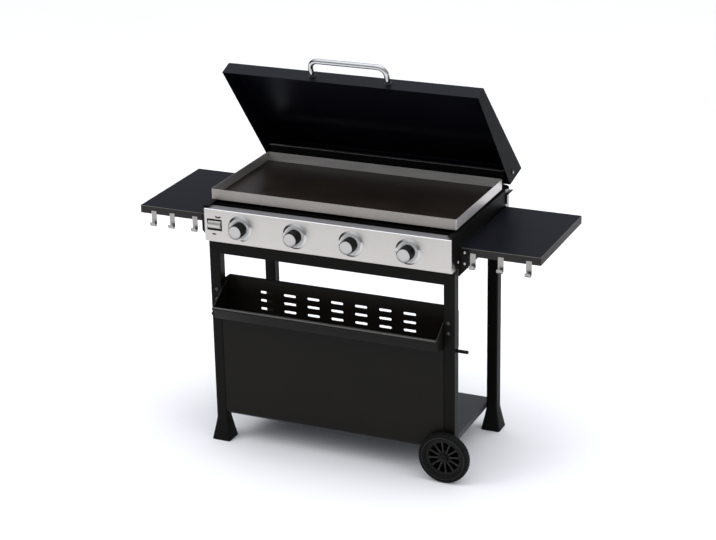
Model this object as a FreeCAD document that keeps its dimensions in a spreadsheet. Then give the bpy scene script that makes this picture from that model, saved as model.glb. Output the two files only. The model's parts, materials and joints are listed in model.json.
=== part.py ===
# Outdoor gas griddle station: a square-tube cart with a wheel, a four-burner fire box,
# a lift-out griddle tray, a hinged lid, two bolted side shelves and a storage trough.
# Millimetres. X runs across the front, +Y points to the rear, +Z up, the floor is z = 0.
# Sketch heights and depths are counted from the floor and from the front faces of the
# front legs; every sub-part is then placed so that the origin lies under its middle.
import FreeCAD, Part
import math
import os
import re
import Sketcher

doc = FreeCAD.newDocument("griddle_station")
sizes = doc.addObject("Spreadsheet::Sheet", "Sizes")
known = []


def size(alias, number, note):
    """Writes one driving dimension on the next row of the sheet, with its note beside it."""
    row = len(known) + 1
    sizes.set("A%d" % row, note)
    sizes.set("B%d" % row, str(number))
    sizes.setAlias("B%d" % row, alias)
    known.append(alias)


# Cart frame
size("cart_front", 278.95, "front leg faces ahead of the origin")
size("cart_half_width", 461, "centre to the outer faces of the legs")
size("cart_depth", 469, "front leg faces to rear leg faces")
size("leg_width", 40, "square tube side")
size("leg_wall", 1.5, "square tube wall")
size("leg_corner", 4, "outer corner radius of the tube")
size("leg_top", 776, "height of the leg tops")
size("foot_height", 100, "height of the flared foot")
size("foot_flare", 84, "top of the flared part of the foot")
size("foot_base", 71, "side of the foot on the floor")
size("spigot_rise", 28, "foot spigot inside the tube")
size("spigot_gap", 0.2, "clearance round the spigot")
size("short_leg_base", 60, "lower end of the leg above the wheel")
size("frame_sheet", 1.5, "sheet of the rails")
size("front_rail_drop", 52, "height of the front rail")
size("side_rail_drop", 30, "height of the side and rear rails")
size("rail_flange", 20, "depth of the rail channels")
size("seat_gap", 0.3, "gap between loose sheet faces")
size("rail_notch_half", 14, "half width of the front rail notch at the inlet")
size("cut_over", 2, "how far a cut runs past its sheet")
# Lower panel and bottom shelf
size("panel_sheet", 1.2, "sheet of the pressed panels")
size("panel_base", 115, "lower edge of the front panel")
size("panel_top", 488, "upper edge of the front panel")
size("panel_flange", 12, "return of the front panel")
size("shelf_level", 105, "top of the bottom shelf")
size("shelf_flange", 22, "side and rear flanges of the bottom shelf")
size("shelf_front_edge", 13.5, "front edge of the bottom shelf")
size("shelf_upstand", 20, "front flange of the bottom shelf, turned up")
size("shelf_flange_start", 90, "front end of the side flanges")
size("shelf_rear_over", 6, "bottom shelf past the rear legs")
# Storage trough, slotted panel and cross rod
size("trough_lip_out", 70, "lip ahead of the legs")
size("trough_lip_level", 542, "height of the lip")
size("trough_foot_out", 54, "lower front bend ahead of the legs")
size("trough_foot_level", 500, "height of the lower front bend")
size("trough_floor_level", 490, "underside of the trough")
size("trough_floor_start", 8, "where the level floor starts")
size("trough_ear_level", 590, "height of the end plate corner")
size("trough_ear_depth", 5, "end plate corner behind the leg faces")
size("hem_radius", 5.5, "rolled lip of the trough")
size("slot_panel_depth", 62, "slotted panel behind the leg faces")
size("slot_panel_top", 621, "top of the slotted panel")
size("slot_panel_base", 489.8, "lower edge of the slotted panel")
size("slot_panel_flange", 12, "top flange of the slotted panel")
size("ear_drop", 8, "end plates below the top of the slotted panel")
size("slot_pitch", 91, "pitch of the slots across")
size("slot_row_pitch", 31, "pitch of the slot rows")
size("slot_top_row", 573.2, "height of the highest slot row")
size("slot_length", 46, "length of a slot")
size("slot_width", 9, "width of a slot")
size("slot_columns", 7, "slots across")
size("slot_rows", 3, "rows of slots")
size("rod_radius", 6, "cross rod")
size("rod_level", 482, "height of the cross rod")
size("rod_left_end", 472, "left end from the centre")
size("rod_right_end", 503, "right end from the centre")
size("rod_play", 0.3, "clearance round the cross rod")
size("frame_bolt_radius", 3, "frame bolt shank")
size("bolt_play", 0.3, "clearance round a bolt")
size("frame_bolt_offset", 438, "frame bolts from the centre")
size("frame_bolt_upper", 587, "upper frame bolt")
size("frame_bolt_lower", 550, "lower frame bolt")
size("bolt_head_radius", 6.5, "domed bolt head")
size("bolt_head_rise", 3.5, "height of a bolt head")
size("bolt_head_round", 2.1, "dome of a bolt head")
size("shelf_bolt_head", 5.2, "head of a shelf bolt")
size("nut_step", 0.9, "nut smaller than the head")
# Wheel
size("wheel_radius", 92.5, "tyre outside")
size("wheel_width", 30, "tyre width")
size("wheel_offset", 430, "axle from the centre")
size("wheel_gap", 5, "wheel to leg face")
size("tyre_inner", 73, "tyre seat on the rim")
size("tyre_bead", 4, "bead of the tyre")
size("tyre_shoulder", 6, "shoulder of the tread")
size("rim_inner", 66, "inside of the rim")
size("rim_width", 24, "width of the rim")
size("hub_radius", 15, "hub barrel")
size("hub_draft", 2, "hub barrel wider at the disc")
size("rim_draft", 3, "rim wider at its edges")
size("hub_width", 30, "length of the hub barrel")
size("web_width", 5, "thickness of the spoked disc")
size("spoke_count", 12, "windows between the spokes")
size("spoke_width", 7, "width of one spoke")
size("window_inner", 20, "inner end of the windows")
size("window_outer", 56, "outer end of the windows")
size("wheel_back", 8, "closed back of the hub behind its middle")
size("wheel_back_sheet", 2, "thickness of the closed back")
size("wheel_back_inner", 12, "inner radius of the closed back, in the barrel")
size("wheel_back_outer", 70, "outer radius of the closed back, in the rim")
size("axle_radius", 5, "axle bolt")
size("axle_play", 0.06, "running clearance of the axle")
size("axle_head_radius", 9, "axle bolt head")
size("axle_head_rise", 6, "height of the axle head")
size("axle_end_gap", 0.3, "gap between hub, spacer and leg")
# Fire box
size("box_half_width", 463, "centre to the outer side faces")
size("box_sheet", 1.5, "sheet of the fire box")
size("box_top", 905, "top of the side panels")
size("box_front", 21, "side panels ahead of the legs")
size("box_depth", 498, "side panels behind the leg faces")
size("box_flange", 20, "inward flanges of the side panels")
size("box_cut_level", 816, "upper end of the front corner cut")
size("box_cut_depth", 46, "rear end of the front corner cut")
size("rear_wall_gap", 0.3, "side panels to rear wall")
size("splash_top", 977, "top of the splash wall")
size("splash_half_width", 455, "half width of the splash wall")
size("splash_flange", 8, "top flange of the splash wall")
size("inner_wall_depth", 27, "front face of the inner wall")
size("inner_wall_base", 779, "lower edge of the inner wall")
# Fascia, knobs and igniter
size("fascia_half_width", 460, "half width of the fascia")
size("fascia_front", 25, "fascia ahead of the legs")
size("fascia_base", 776, "lower edge of the fascia")
size("fascia_top", 896, "upper edge of the fascia")
size("fascia_back", 15, "rear edge of the fascia flanges")
size("fascia_sheet", 1.2, "sheet of the fascia")
size("fascia_bend", 3, "bend radius of the fascia")
size("return_depth", 44, "tail of the end returns")
size("return_rise", 24, "height of the end returns at the flange")
size("vent_depth", 15, "vent slot ahead of the leg faces")
size("vent_rise", 20, "vent slot above the lower edge")
size("vent_length", 9, "length of a vent slot")
size("vent_width", 5, "width of a vent slot")
size("knob_pitch", 209, "pitch of the knobs")
size("knob_shift", 8.5, "knob row to the left of the centre")
size("knob_level", 836, "height of the knobs")
size("knob_radius", 26, "knob outside")
size("knob_length", 36, "knob depth")
size("knob_lift", 8, "knob ahead of the fascia")
size("knob_face_radius", 23, "front disc of the knob")
size("knob_grips", 12, "grip flutes of the knob")
size("knob_skirt", 6, "depth of the knob's skirt behind the flutes")
size("knob_taper", 1, "knob narrower at the front")
size("knob_round", 1.6, "front rounding of the knob")
size("knob_disc_rise", 1, "front disc ahead of the knob body")
size("knob_cap", 6, "solid front of the knob ahead of the stem")
size("flute_radius", 4.2, "radius of a grip flute")
size("flute_out", 2.9, "flute centre outside the knob")
size("bezel_radius", 46, "knob bezel outside")
size("bezel_inner", 25, "knob bezel opening")
size("bezel_rise", 6, "knob bezel height")
size("bezel_edge", 1, "height of the bezel's outer edge")
size("bezel_flank", 8, "width of the bezel's outer slope")
size("bezel_land", 1.5, "width of the bezel's crest")
size("bezel_dish", 1, "height of the bezel at its opening")
size("stem_radius", 4, "valve stem")
size("stem_play", 0.06, "clearance of stem and bore")
size("igniter_centre", 421.5, "igniter to the left of the centre")
size("igniter_level", 839, "height of the igniter")
size("igniter_width", 57, "width of the igniter window")
size("igniter_height", 42, "height of the igniter window")
size("igniter_recess", 34.5, "depth of the igniter recess")
size("button_radius", 17, "igniter barrel")
size("button_length", 50, "length of the igniter barrel")
size("button_proud", 7, "barrel ahead of the fascia")
size("button_travel", 5, "igniter travel")
size("button_round", 2.5, "rounding of the barrel ends")
size("button_pin", 3, "radius of the igniter pin")
size("pin_play", 0.4, "clearance round the igniter pin")
size("recess_wall", 1.5, "wall of the igniter recess")
size("recess_lip", 0.6, "recess rim ahead of the fascia")
size("spark_unit_half", 16, "half width of the spark unit")
size("spark_unit_height", 28, "height of the spark unit")
size("pin_reach", 6, "igniter pin behind the recess")
# Gas train
size("manifold_radius", 9.5, "manifold tube")
size("manifold_level", 800, "height of the manifold")
size("manifold_depth", 14, "manifold behind the leg faces")
size("inlet_offset", 395, "gas inlet from the centre")
size("inlet_radius", 7.94, "male flare thread of the gas inlet")
size("inlet_level", 733, "height of the gas inlet thread")
size("inlet_start", 34, "front end of the gas inlet thread")
size("inlet_thread", 16, "length of the gas inlet thread")
size("inlet_neck", 6, "radius of the pipe above the inlet elbow")
size("inlet_bore", 4, "radius of the gas way")
size("inlet_collar", 6, "length of the collar ahead of the thread")
size("elbow_half", 8, "half side of the inlet elbow")
size("burner_radius", 14, "burner tube")
size("burner_level", 850, "height of the burners")
size("burner_start", 22, "front end of the burners")
size("burner_end", 468, "rear end of the burners")
size("port_pitch", 24, "pitch of the burner ports")
size("port_count", 15, "ports along a burner")
size("port_start", 77, "first burner port behind the leg faces")
size("port_length", 12, "length of a burner port")
size("port_low", 3, "lower edge of a port above the burner axis")
size("port_high", 5.5, "upper edge of a port above the burner axis")
size("burner_cap", 4, "closed rear end of a burner")
# Griddle
size("tray_half_width", 457, "half width of the griddle rim")
size("tray_front", 27, "front face of the rim")
size("tray_back", 480, "rear face of the rim")
size("tray_base", 914, "lower edge of the rim")
size("tray_top", 951, "upper edge of the rim")
size("rim_sheet", 2, "rim plate")
size("tray_corner", 6, "corner radius of the rim")
size("plate_under", 912, "underside of the griddle plate")
size("plate_top", 918, "cooking surface")
size("drain_offset", 424, "drain hole from the centre")
size("drain_depth", 450, "drain hole behind the leg faces")
size("drain_radius", 12, "drain hole")
size("drain_wall", 2, "wall of the drain spout")
size("drain_drop", 3, "drain spout under the plate")
size("plate_foot_radius", 5, "round feet of the griddle plate")
size("plate_foot_offset", 449, "plate feet from the centre")
size("plate_foot_front", 67, "front plate feet behind the leg faces")
size("plate_foot_back", 410, "rear plate feet behind the leg faces")
# Grease cup
size("cup_depth", 541, "cup centre behind the leg faces")
size("cup_radius", 35, "cup outside")
size("cup_base", 823, "cup bottom")
size("cup_top", 898, "cup mouth")
size("cup_sheet", 1.2, "cup wall")
size("cup_collar", 38.5, "collar under the mouth")
size("fork_level", 886, "top of the cup fork")
size("fork_play", 0.4, "clearance of the cup in the fork")
size("fork_sheet", 2, "sheet of the cup fork")
size("fork_arm", 9, "width of a fork arm")
size("fork_drop", 34, "height of the fork's wall plate")
size("fork_end", 565.5, "rear end of the fork arms")
size("collar_rise", 2, "height of the cup collar")
# Lid, drawn closed from its pivot
size("pivot_depth", 533, "lid pivot behind the leg faces")
size("pivot_level", 962, "height of the lid pivot")
size("lid_open_angle", 47.4, "lid opened from closed")
size("lid_half_width", 475, "half width of the lid")
size("lid_sheet", 1.5, "sheet of the lid")
size("lid_bend", 5, "bend radius of the lid")
size("lip_reach", 505.5, "pivot to the lip, forwards")
size("lip_drop", 10.5, "lip below the pivot")
size("brow_reach", 484, "pivot to the front bend, forwards")
size("brow_rise", 44, "front bend above the pivot")
size("heel_reach", 81, "pivot to the rear bend, backwards")
size("heel_rise", 66, "rear bend above the pivot")
size("tail_reach", 16, "pivot to the rear lip, backwards")
size("tail_drop", 42, "rear lip below the pivot")
size("hinge_radius", 5, "hinge rod")
size("hinge_play", 0.08, "running clearance of the lid on the rod")
size("ear_offset", 430, "hinge ears from the centre")
size("ear_sheet", 3, "thickness of the hinge ears")
size("ear_nose", 10, "ear round the rod")
size("ear_chamfer", 4, "corner cut of an ear")
size("ear_foot", 24, "ear below the rod at the wall")
size("ear_head", 14, "ear above the rod at the wall")
size("ear_plate_half", 12, "half width of the ear's wall plate")
size("ear_plate_sheet", 2, "ear's wall plate")
size("rod_cap", 2, "rod cap wider than the rod")
size("rod_cap_length", 5, "length of a rod cap")
size("handle_radius", 9.5, "handle tube")
size("handle_half", 141, "centre to the handle legs")
size("handle_stand", 65, "handle axis off the lid")
size("handle_bend", 32, "bend radius of the handle")
size("ferrule_radius", 11.5, "ferrule under a handle leg")
size("ferrule_rise", 4, "height of a ferrule")
# Side shelves
size("side_inner", 470, "inner end of the side shelves")
size("side_outer", 750, "outer end of the side shelves")
size("side_front", 36, "front face of the side shelves")
size("side_back", 480, "rear face of the side shelves")
size("side_level", 852, "top of the side shelves")
size("side_rim", 28, "flange of the side shelves")
size("side_sheet", 1.2, "sheet of the side shelves")
size("side_bend", 4, "corner radius of the side shelves")
size("side_top_bend", 3.2, "bend radius round the shelf top")
size("tab_drop", 64, "hanger tab below the shelf top")
size("tab_width", 28, "width of the hanger tab")
size("bracket_sheet", 2.5, "bracket plate")
size("bracket_outer", 502, "outer edge of a bracket")
size("bracket_base", 747, "lower point of a bracket")
size("bracket_edge_base", 790, "lower end of the outer edge")
size("bracket_flange", 26, "flange along the fire box side")
size("bracket_rear_flange", 8, "rear flange ahead of the bracket's rear face")
size("bracket_inset", 6, "bracket flange short of leg top and shelf top")
size("side_bolt_offset", 484, "shelf bolts from the centre")
size("side_bolt_upper", 836, "upper shelf bolt")
size("side_bolt_lower", 797, "lower shelf bolt")
size("flange_screw_level", 804, "height of the bracket flange screws")
size("flange_screw_front", 21, "front flange screws behind the leg faces")
size("flange_screw_rear", 490, "rear flange screws behind the leg faces")
size("screw_tip", 2, "flange screw inside the fire box side")
size("hook_width", 20, "utensil hook strap width")
size("hook_sheet", 1.5, "utensil hook strap")
size("hook_top", 836, "top of a hook strap")
size("hook_bottom", 790, "centre of the hook curl")
size("hook_curl", 7, "inner radius of the hook curl")
size("hook_tip", 7, "rise of the hook tip")
size("hook_place_1", 513, "first hook on the right shelf")
size("hook_place_2", 611, "second hook on the right shelf")
size("hook_place_3", 709, "third hook on the right shelf")
size("hook_place_4", 531, "first hook on the left shelf")
size("hook_place_5", 622, "second hook on the left shelf")
size("hook_place_6", 695, "third hook on the left shelf")
size("chute_half", 17, "half width of the grease chute")
size("chute_sheet", 1, "sheet of the grease chute")
size("chute_room", 1.5, "clearance of the chute in the rear wall")
size("chute_start", 430, "front end of the grease chute")
size("chute_reach", 16, "chute past the rear wall")
size("chute_fall", 4, "fall of the chute's floor")
size("chute_side", 10, "chute sides above the cup mouth")
size("chute_stop", 16, "chute's stop plate below the cup mouth")
size("peg_radius", 4, "rear peg of a burner")
size("spark_radius", 4, "ceramic of a spark electrode")
size("spark_offset", 24, "spark electrode beside its burner")
size("spark_length", 60, "ceramic behind the inner wall")
size("spark_front", 6, "ceramic ahead of the inner wall")
size("spark_wire", 1, "radius of the spark wire")
size("spark_wire_length", 12, "spark wire past the ceramic")
size("valve_front", -16, "front of a valve block")
size("stem_room", 4, "stem inside the valve bore")
size("valve_half", 11, "half side of a valve block")
size("saddle_half", 9, "half width of a valve's saddle")
size("saddle_depth", 4, "depth of a valve's saddle")
size("saddle_drop", 6, "saddle below the manifold axis")
size("jet_radius", 4, "gas jet of a valve")
size("jet_drop", 6, "gas jet below the burner axis")
size("jet_reach", 8, "gas jet inside the burner")
size("gland_radius", 9, "gland round a valve stem")
size("gland_gap", 0.5, "gland to the fascia")
size("valve_bore", 16, "depth of the stem bore")
doc.recompute()


def bound(text):
    """Puts the sheet's name before every size named in an expression."""
    def named(word):
        return "Sizes." + word.group() if word.group() in known else word.group()
    return re.sub(r"[a-z_][a-z_0-9]*", named, text)


def value(text):
    """The present number of an expression over the sheet's sizes."""
    number = sizes.evalExpression(bound(text))
    return float(getattr(number, "Value", number))


def new_body(label, depth="-cart_front", level="0", across="0"):
    """A sub-part whose own frame is moved back by the cart's front distance."""
    body = doc.addObject("PartDesign::Body", "Body_" + label)
    body.Label = label
    body.AllowCompound = True
    body.setExpression("Placement.Base.x", bound(across))
    body.setExpression("Placement.Base.y", bound(depth))
    body.setExpression("Placement.Base.z", bound(level))
    return body


def new_sketch(body, plane, offset):
    """An empty sketch on one of the body's origin planes, moved along the plane's normal."""
    sketch = body.newObject("Sketcher::SketchObject", "Sketch")
    support = [item for item in body.Origin.OriginFeatures if item.Role == plane + "_Plane"][0]
    sketch.AttachmentSupport = (support, [""])
    sketch.MapMode = "FlatFace"
    sketch.setExpression("AttachmentOffset.Base.z", bound(offset))
    return sketch


def pin_point(sketch, element, end, across, up):
    """Ties one point of a sketch element to two expressions."""
    for kind, text in (("DistanceX", across), ("DistanceY", up)):
        index = sketch.addConstraint(Sketcher.Constraint(kind, -1, 1, element, end, value(text)))
        sketch.setExpression("Constraints[%d]" % index, bound(text))


def draw_polygon(sketch, corners):
    """A closed outline whose corners are pairs of expressions."""
    first = len(sketch.Geometry)
    spots = [FreeCAD.Vector(value(across), value(up), 0) for across, up in corners]
    for number, spot in enumerate(spots):
        sketch.addGeometry(Part.LineSegment(spot, spots[(number + 1) % len(spots)]), False)
    for number, corner in enumerate(corners):
        after = first + (number + 1) % len(corners)
        sketch.addConstraint(Sketcher.Constraint("Coincident", first + number, 2, after, 1))
        pin_point(sketch, first + number, 1, corner[0], corner[1])


def draw_rectangle(sketch, left, right, low, high):
    draw_polygon(sketch, [(left, low), (right, low), (right, high), (left, high)])


def draw_circle(sketch, across, up, radius):
    element = len(sketch.Geometry)
    centre = FreeCAD.Vector(value(across), value(up), 0)
    sketch.addGeometry(Part.Circle(centre, FreeCAD.Vector(0, 0, 1), value(radius)), False)
    pin_point(sketch, element, 3, across, up)
    index = sketch.addConstraint(Sketcher.Constraint("Radius", element, value(radius)))
    sketch.setExpression("Constraints[%d]" % index, bound(radius))


def draw_slot(sketch, across, up, length, width):
    """A round-ended slot lying along the sketch's first axis."""
    first = len(sketch.Geometry)
    centre_x = value(across)
    centre_y = value(up)
    radius = value(width) / 2
    half = value(length) / 2 - radius
    left = FreeCAD.Vector(centre_x - half, centre_y, 0)
    right = FreeCAD.Vector(centre_x + half, centre_y, 0)
    lift = FreeCAD.Vector(0, radius, 0)
    normal = FreeCAD.Vector(0, 0, 1)
    quarter = math.pi / 2
    right_end = Part.ArcOfCircle(Part.Circle(right, normal, radius), -quarter, quarter)
    left_end = Part.ArcOfCircle(Part.Circle(left, normal, radius), quarter, 3 * quarter)
    sketch.addGeometry(Part.LineSegment(left - lift, right - lift), False)
    sketch.addGeometry(right_end, False)
    sketch.addGeometry(Part.LineSegment(right + lift, left + lift), False)
    sketch.addGeometry(left_end, False)
    for here, there in ((0, 1), (1, 2), (2, 3), (3, 0)):
        sketch.addConstraint(Sketcher.Constraint("Tangent", first + here, 2, first + there, 1))
    pin_point(sketch, first + 3, 3, "%s-(%s)/2+(%s)/2" % (across, length, width), up)
    pin_point(sketch, first + 1, 3, "%s+(%s)/2-(%s)/2" % (across, length, width), up)
    index = sketch.addConstraint(Sketcher.Constraint("Radius", first + 1, radius))
    sketch.setExpression("Constraints[%d]" % index, bound("(%s)/2" % width))


def pad(body, sketch, length, midplane=False, reverse=False):
    feature = body.newObject("PartDesign::Pad", "Pad")
    feature.Profile = sketch
    feature.setExpression("Length", bound(length))
    feature.Midplane = midplane
    feature.Reversed = reverse
    body.Tip = feature
    return feature


def pocket(body, sketch, length, midplane=True, reverse=False):
    """A cut on both sides of its sketch, or on one side; the volume must shrink."""
    doc.recompute()
    before = body.Shape.Volume
    feature = body.newObject("PartDesign::Pocket", "Pocket")
    feature.Profile = sketch
    feature.setExpression("Length", bound(length))
    feature.Midplane = midplane
    feature.Reversed = reverse
    body.Tip = feature
    doc.recompute()
    if body.Shape.Volume >= before:
        raise RuntimeError("a cut in %s takes nothing away" % body.Label)
    return feature


def block(body, left, right, front, back, low, high):
    """A rectangular pad between six expressions."""
    sketch = new_sketch(body, "XY", low)
    draw_rectangle(sketch, left, right, front, back)
    return pad(body, sketch, "(%s)-(%s)" % (high, low))


def profile(body, left, right, corners):
    """A depth-and-height outline carried across from left to right."""
    sketch = new_sketch(body, "YZ", left)
    draw_polygon(sketch, corners)
    return pad(body, sketch, "(%s)-(%s)" % (right, left))


def front_plate(body, front, back, corners):
    """A width-and-height outline with its thickness from front to back."""
    sketch = new_sketch(body, "XZ", "-(%s)" % back)
    draw_polygon(sketch, corners)
    return pad(body, sketch, "(%s)-(%s)" % (back, front))


def post(body, plane, start, end, across, up, radius):
    """A round pad along the plane's normal, between two places on that normal."""
    sketch = new_sketch(body, plane, start)
    draw_circle(sketch, across, up, radius)
    return pad(body, sketch, "(%s)-(%s)" % (end, start))


def drill(body, plane, middle, across, up, radius, length):
    sketch = new_sketch(body, plane, middle)
    draw_circle(sketch, across, up, radius)
    return pocket(body, sketch, length)


def facing(feature, *directions):
    """Names of the flat faces whose outward normals point along the given directions."""
    doc.recompute()
    names = []
    for number, face in enumerate(feature.Shape.Faces):
        normal = face.normalAt(0, 0)
        for direction in directions:
            if (normal - FreeCAD.Vector(*direction).normalize()).Length < 0.02:
                names.append("Face%d" % (number + 1))
    return names


def open_sheet(body, feature, faces, wall):
    """Turns the solid into folded sheet that is open on the named faces."""
    shell = body.newObject("PartDesign::Thickness", "Thickness")
    shell.Base = (feature, faces)
    shell.setExpression("Value", bound(wall))
    shell.Reversed = True
    body.Tip = shell
    doc.recompute()
    return shell


def hollow(body, feature, wall, *directions):
    """Folded sheet that is open on the faces looking along the directions."""
    return open_sheet(body, feature, facing(feature, *directions), wall)


def edges_along(feature, direction, keep):
    """Names of the straight edges along a direction whose middle passes the test."""
    doc.recompute()
    names = []
    for number, edge in enumerate(feature.Shape.Edges):
        if not isinstance(edge.Curve, Part.Line):
            continue
        run = edge.Vertexes[1].Point - edge.Vertexes[0].Point
        if run.cross(FreeCAD.Vector(*direction)).Length > 0.01 * run.Length:
            continue
        if keep(edge.CenterOfMass):
            names.append("Edge%d" % (number + 1))
    return names


def round_edges(body, feature, names, radius):
    fillet = body.newObject("PartDesign::Fillet", "Fillet")
    fillet.Base = (feature, names)
    fillet.setExpression("Radius", bound(radius))
    body.Tip = fillet
    doc.recompute()
    return fillet


def group(label, members):
    """Identical separate solids that share one name."""
    compound = doc.addObject("Part::Compound", "Group_" + label)
    compound.Label = label
    compound.Links = members
    return compound


sub_parts = []


def finished(item):
    sub_parts.append(item)
    return item


LEFT = "-1*"
RIGHT = "1*"
X_AXIS = (1, 0, 0)
Y_AXIS = (0, 1, 0)
Z_AXIS = (0, 0, 1)


def mirrored_span(side, near, far):
    """The lower and the higher end of a span given outwards from the centre."""
    if side == RIGHT:
        return near, far
    return "-(%s)" % far, "-(%s)" % near


# Legs: square steel tube, four of them, the front right one cut short above the wheel.
def leg(label, side, front, base):
    body = new_body(label)
    inner, outer = mirrored_span(side, "cart_half_width-leg_width", "cart_half_width")
    tube = block(body, inner, outer, front, front + "+leg_width", base, "leg_top")
    tube = round_edges(body, tube, edges_along(tube, Z_AXIS, lambda spot: True), "leg_corner")
    bore = new_sketch(body, "XY", base)
    draw_rectangle(bore, inner + "+leg_wall", outer + "-leg_wall", front + "+leg_wall",
                   front + "+leg_width-leg_wall")
    pocket(body, bore, "2*(leg_top-(%s)+cut_over)" % base)
    return body


def front_leg(label, side, base):
    """A front leg also takes the cross rod and the bolts of the slotted panel."""
    body = leg(label, side, "0", base)
    middle = side + "(cart_half_width-leg_width/2)"
    drill(body, "YZ", middle, "leg_width/2", "rod_level", "rod_radius+rod_play", "leg_width+cut_over")
    for level in ("frame_bolt_upper", "frame_bolt_lower"):
        drill(body, "XZ", "-leg_width/2", side + "frame_bolt_offset", level,
              "frame_bolt_radius+bolt_play", "leg_width+cut_over")
    return body


finished(front_leg("leg_front_left", LEFT, "foot_height"))
right_leg = front_leg("leg_front_right", RIGHT, "short_leg_base")
drill(right_leg, "XZ", "-leg_width/2", "wheel_offset", "wheel_radius", "axle_radius+bolt_play",
      "leg_width+cut_over")
finished(right_leg)
finished(leg("leg_rear_left", LEFT, "cart_depth-leg_width", "foot_height"))
finished(leg("leg_rear_right", RIGHT, "cart_depth-leg_width", "foot_height"))


# Feet: flared boots that plug into the tube ends.
def foot(label, side, middle):
    body = new_body(label)
    centre = side + "(cart_half_width-leg_width/2)"
    ends = []
    for level, width in (("0", "foot_base"), ("foot_flare", "leg_width")):
        sketch = new_sketch(body, "XY", level)
        draw_rectangle(sketch, "%s-%s/2" % (centre, width), "%s+%s/2" % (centre, width),
                       "%s-%s/2" % (middle, width), "%s+%s/2" % (middle, width))
        ends.append(sketch)
    flare = body.newObject("PartDesign::AdditiveLoft", "Loft")
    flare.Profile = ends[0]
    flare.Sections = [ends[1]]
    body.Tip = flare
    block(body, centre + "-leg_width/2", centre + "+leg_width/2", middle + "-leg_width/2",
          middle + "+leg_width/2", "foot_flare", "foot_height")
    plug = "(leg_width/2-leg_wall-spigot_gap)"
    block(body, "%s-%s" % (centre, plug), "%s+%s" % (centre, plug), "%s-%s" % (middle, plug),
          "%s+%s" % (middle, plug), "foot_height-cut_over", "foot_height+spigot_rise")
    return body


finished(group("flared_feet", [
    foot("foot_front_left", LEFT, "leg_width/2"),
    foot("foot_rear_left", LEFT, "(cart_depth-leg_width/2)"),
    foot("foot_rear_right", RIGHT, "(cart_depth-leg_width/2)")]))


# Rails: pressed channels between the leg tops, open towards the middle of the cart.
def front_rail():
    body = new_body("front_rail")
    inner = "cart_half_width-leg_width-seat_gap"
    bar = block(body, "-(%s)" % inner, inner, "0", "rail_flange", "leg_top-front_rail_drop", "leg_top")
    hollow(body, bar, "frame_sheet", (0, 1, 0), (1, 0, 0), (-1, 0, 0))
    notch = new_sketch(body, "XY", "leg_top-front_rail_drop/2")
    draw_rectangle(notch, "inlet_offset-rail_notch_half", "inlet_offset+rail_notch_half",
                   "frame_sheet+seat_gap", "rail_flange+cut_over")
    pocket(body, notch, "front_rail_drop+cut_over")
    return body


def rear_rail():
    body = new_body("rear_rail")
    inner = "cart_half_width-leg_width-seat_gap"
    bar = block(body, "-(%s)" % inner, inner, "cart_depth-rail_flange", "cart_depth",
                "leg_top-side_rail_drop", "leg_top")
    hollow(body, bar, "frame_sheet", (0, -1, 0), (1, 0, 0), (-1, 0, 0))
    return body


def side_rail(label, side):
    body = new_body(label)
    inner, outer = mirrored_span(side, "cart_half_width-rail_flange", "cart_half_width")
    bar = block(body, inner, outer, "leg_width+seat_gap", "cart_depth-leg_width-seat_gap",
                "leg_top-side_rail_drop", "leg_top")
    inward = (-1, 0, 0) if side == RIGHT else (1, 0, 0)
    hollow(body, bar, "frame_sheet", inward, (0, 1, 0), (0, -1, 0))
    return body


finished(front_rail())
finished(rear_rail())
finished(group("side_rails", [side_rail("side_rail_left", LEFT), side_rail("side_rail_right", RIGHT)]))


# Lower front panel: a shallow pan between the front legs.
def lower_front_panel():
    body = new_body("lower_front_panel")
    half = "(cart_half_width-leg_width-seat_gap)"
    pan = block(body, "-" + half, half, "0", "panel_flange", "panel_base", "panel_top")
    hollow(body, pan, "panel_sheet", (0, 1, 0))
    return body


# Bottom shelf: turned down at the sides and the rear, turned up behind the front panel.
def bottom_shelf():
    body = new_body("bottom_shelf")
    half = "(cart_half_width-leg_width-seat_gap)"
    pan = block(body, "-" + half, half, "shelf_front_edge", "cart_depth+shelf_rear_over",
                "shelf_level-shelf_flange", "shelf_level")
    hollow(body, pan, "panel_sheet", (0, 0, -1), (0, -1, 0))
    corners = new_sketch(body, "YZ", "0")
    draw_rectangle(corners, "shelf_front_edge-cut_over", "shelf_flange_start",
                   "shelf_level-shelf_flange-cut_over", "shelf_level-panel_sheet")
    pocket(body, corners, "2*cart_half_width")
    block(body, "-" + half, half, "shelf_front_edge", "shelf_front_edge+panel_sheet",
          "shelf_level-panel_sheet/2", "shelf_level+shelf_upstand")
    return body


finished(lower_front_panel())
finished(bottom_shelf())


# Storage trough: one folded sheet with a rolled lip, its ends standing inside the legs.
def storage_trough():
    body = new_body("storage_trough")
    half = "(cart_half_width-leg_width-seat_gap)"
    back = "slot_panel_depth-seat_gap"
    bin_form = profile(body, "-" + half, half, [
        ("-trough_lip_out", "trough_lip_level"), ("-trough_foot_out", "trough_foot_level"),
        ("trough_floor_start", "trough_floor_level"), (back, "trough_floor_level"),
        (back, "slot_panel_top-ear_drop"), ("trough_ear_depth", "trough_ear_level")])
    doc.recompute()
    open_faces = []
    for number, face in enumerate(bin_form.Shape.Faces):
        normal = face.normalAt(0, 0)
        if normal.y > 0.9 or (normal.z > 0.4 and abs(normal.x) < 0.1):
            open_faces.append("Face%d" % (number + 1))
    open_sheet(body, bin_form, open_faces, "panel_sheet")
    post(body, "YZ", "-" + half, half, "-trough_lip_out", "trough_lip_level", "hem_radius")
    return body


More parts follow.
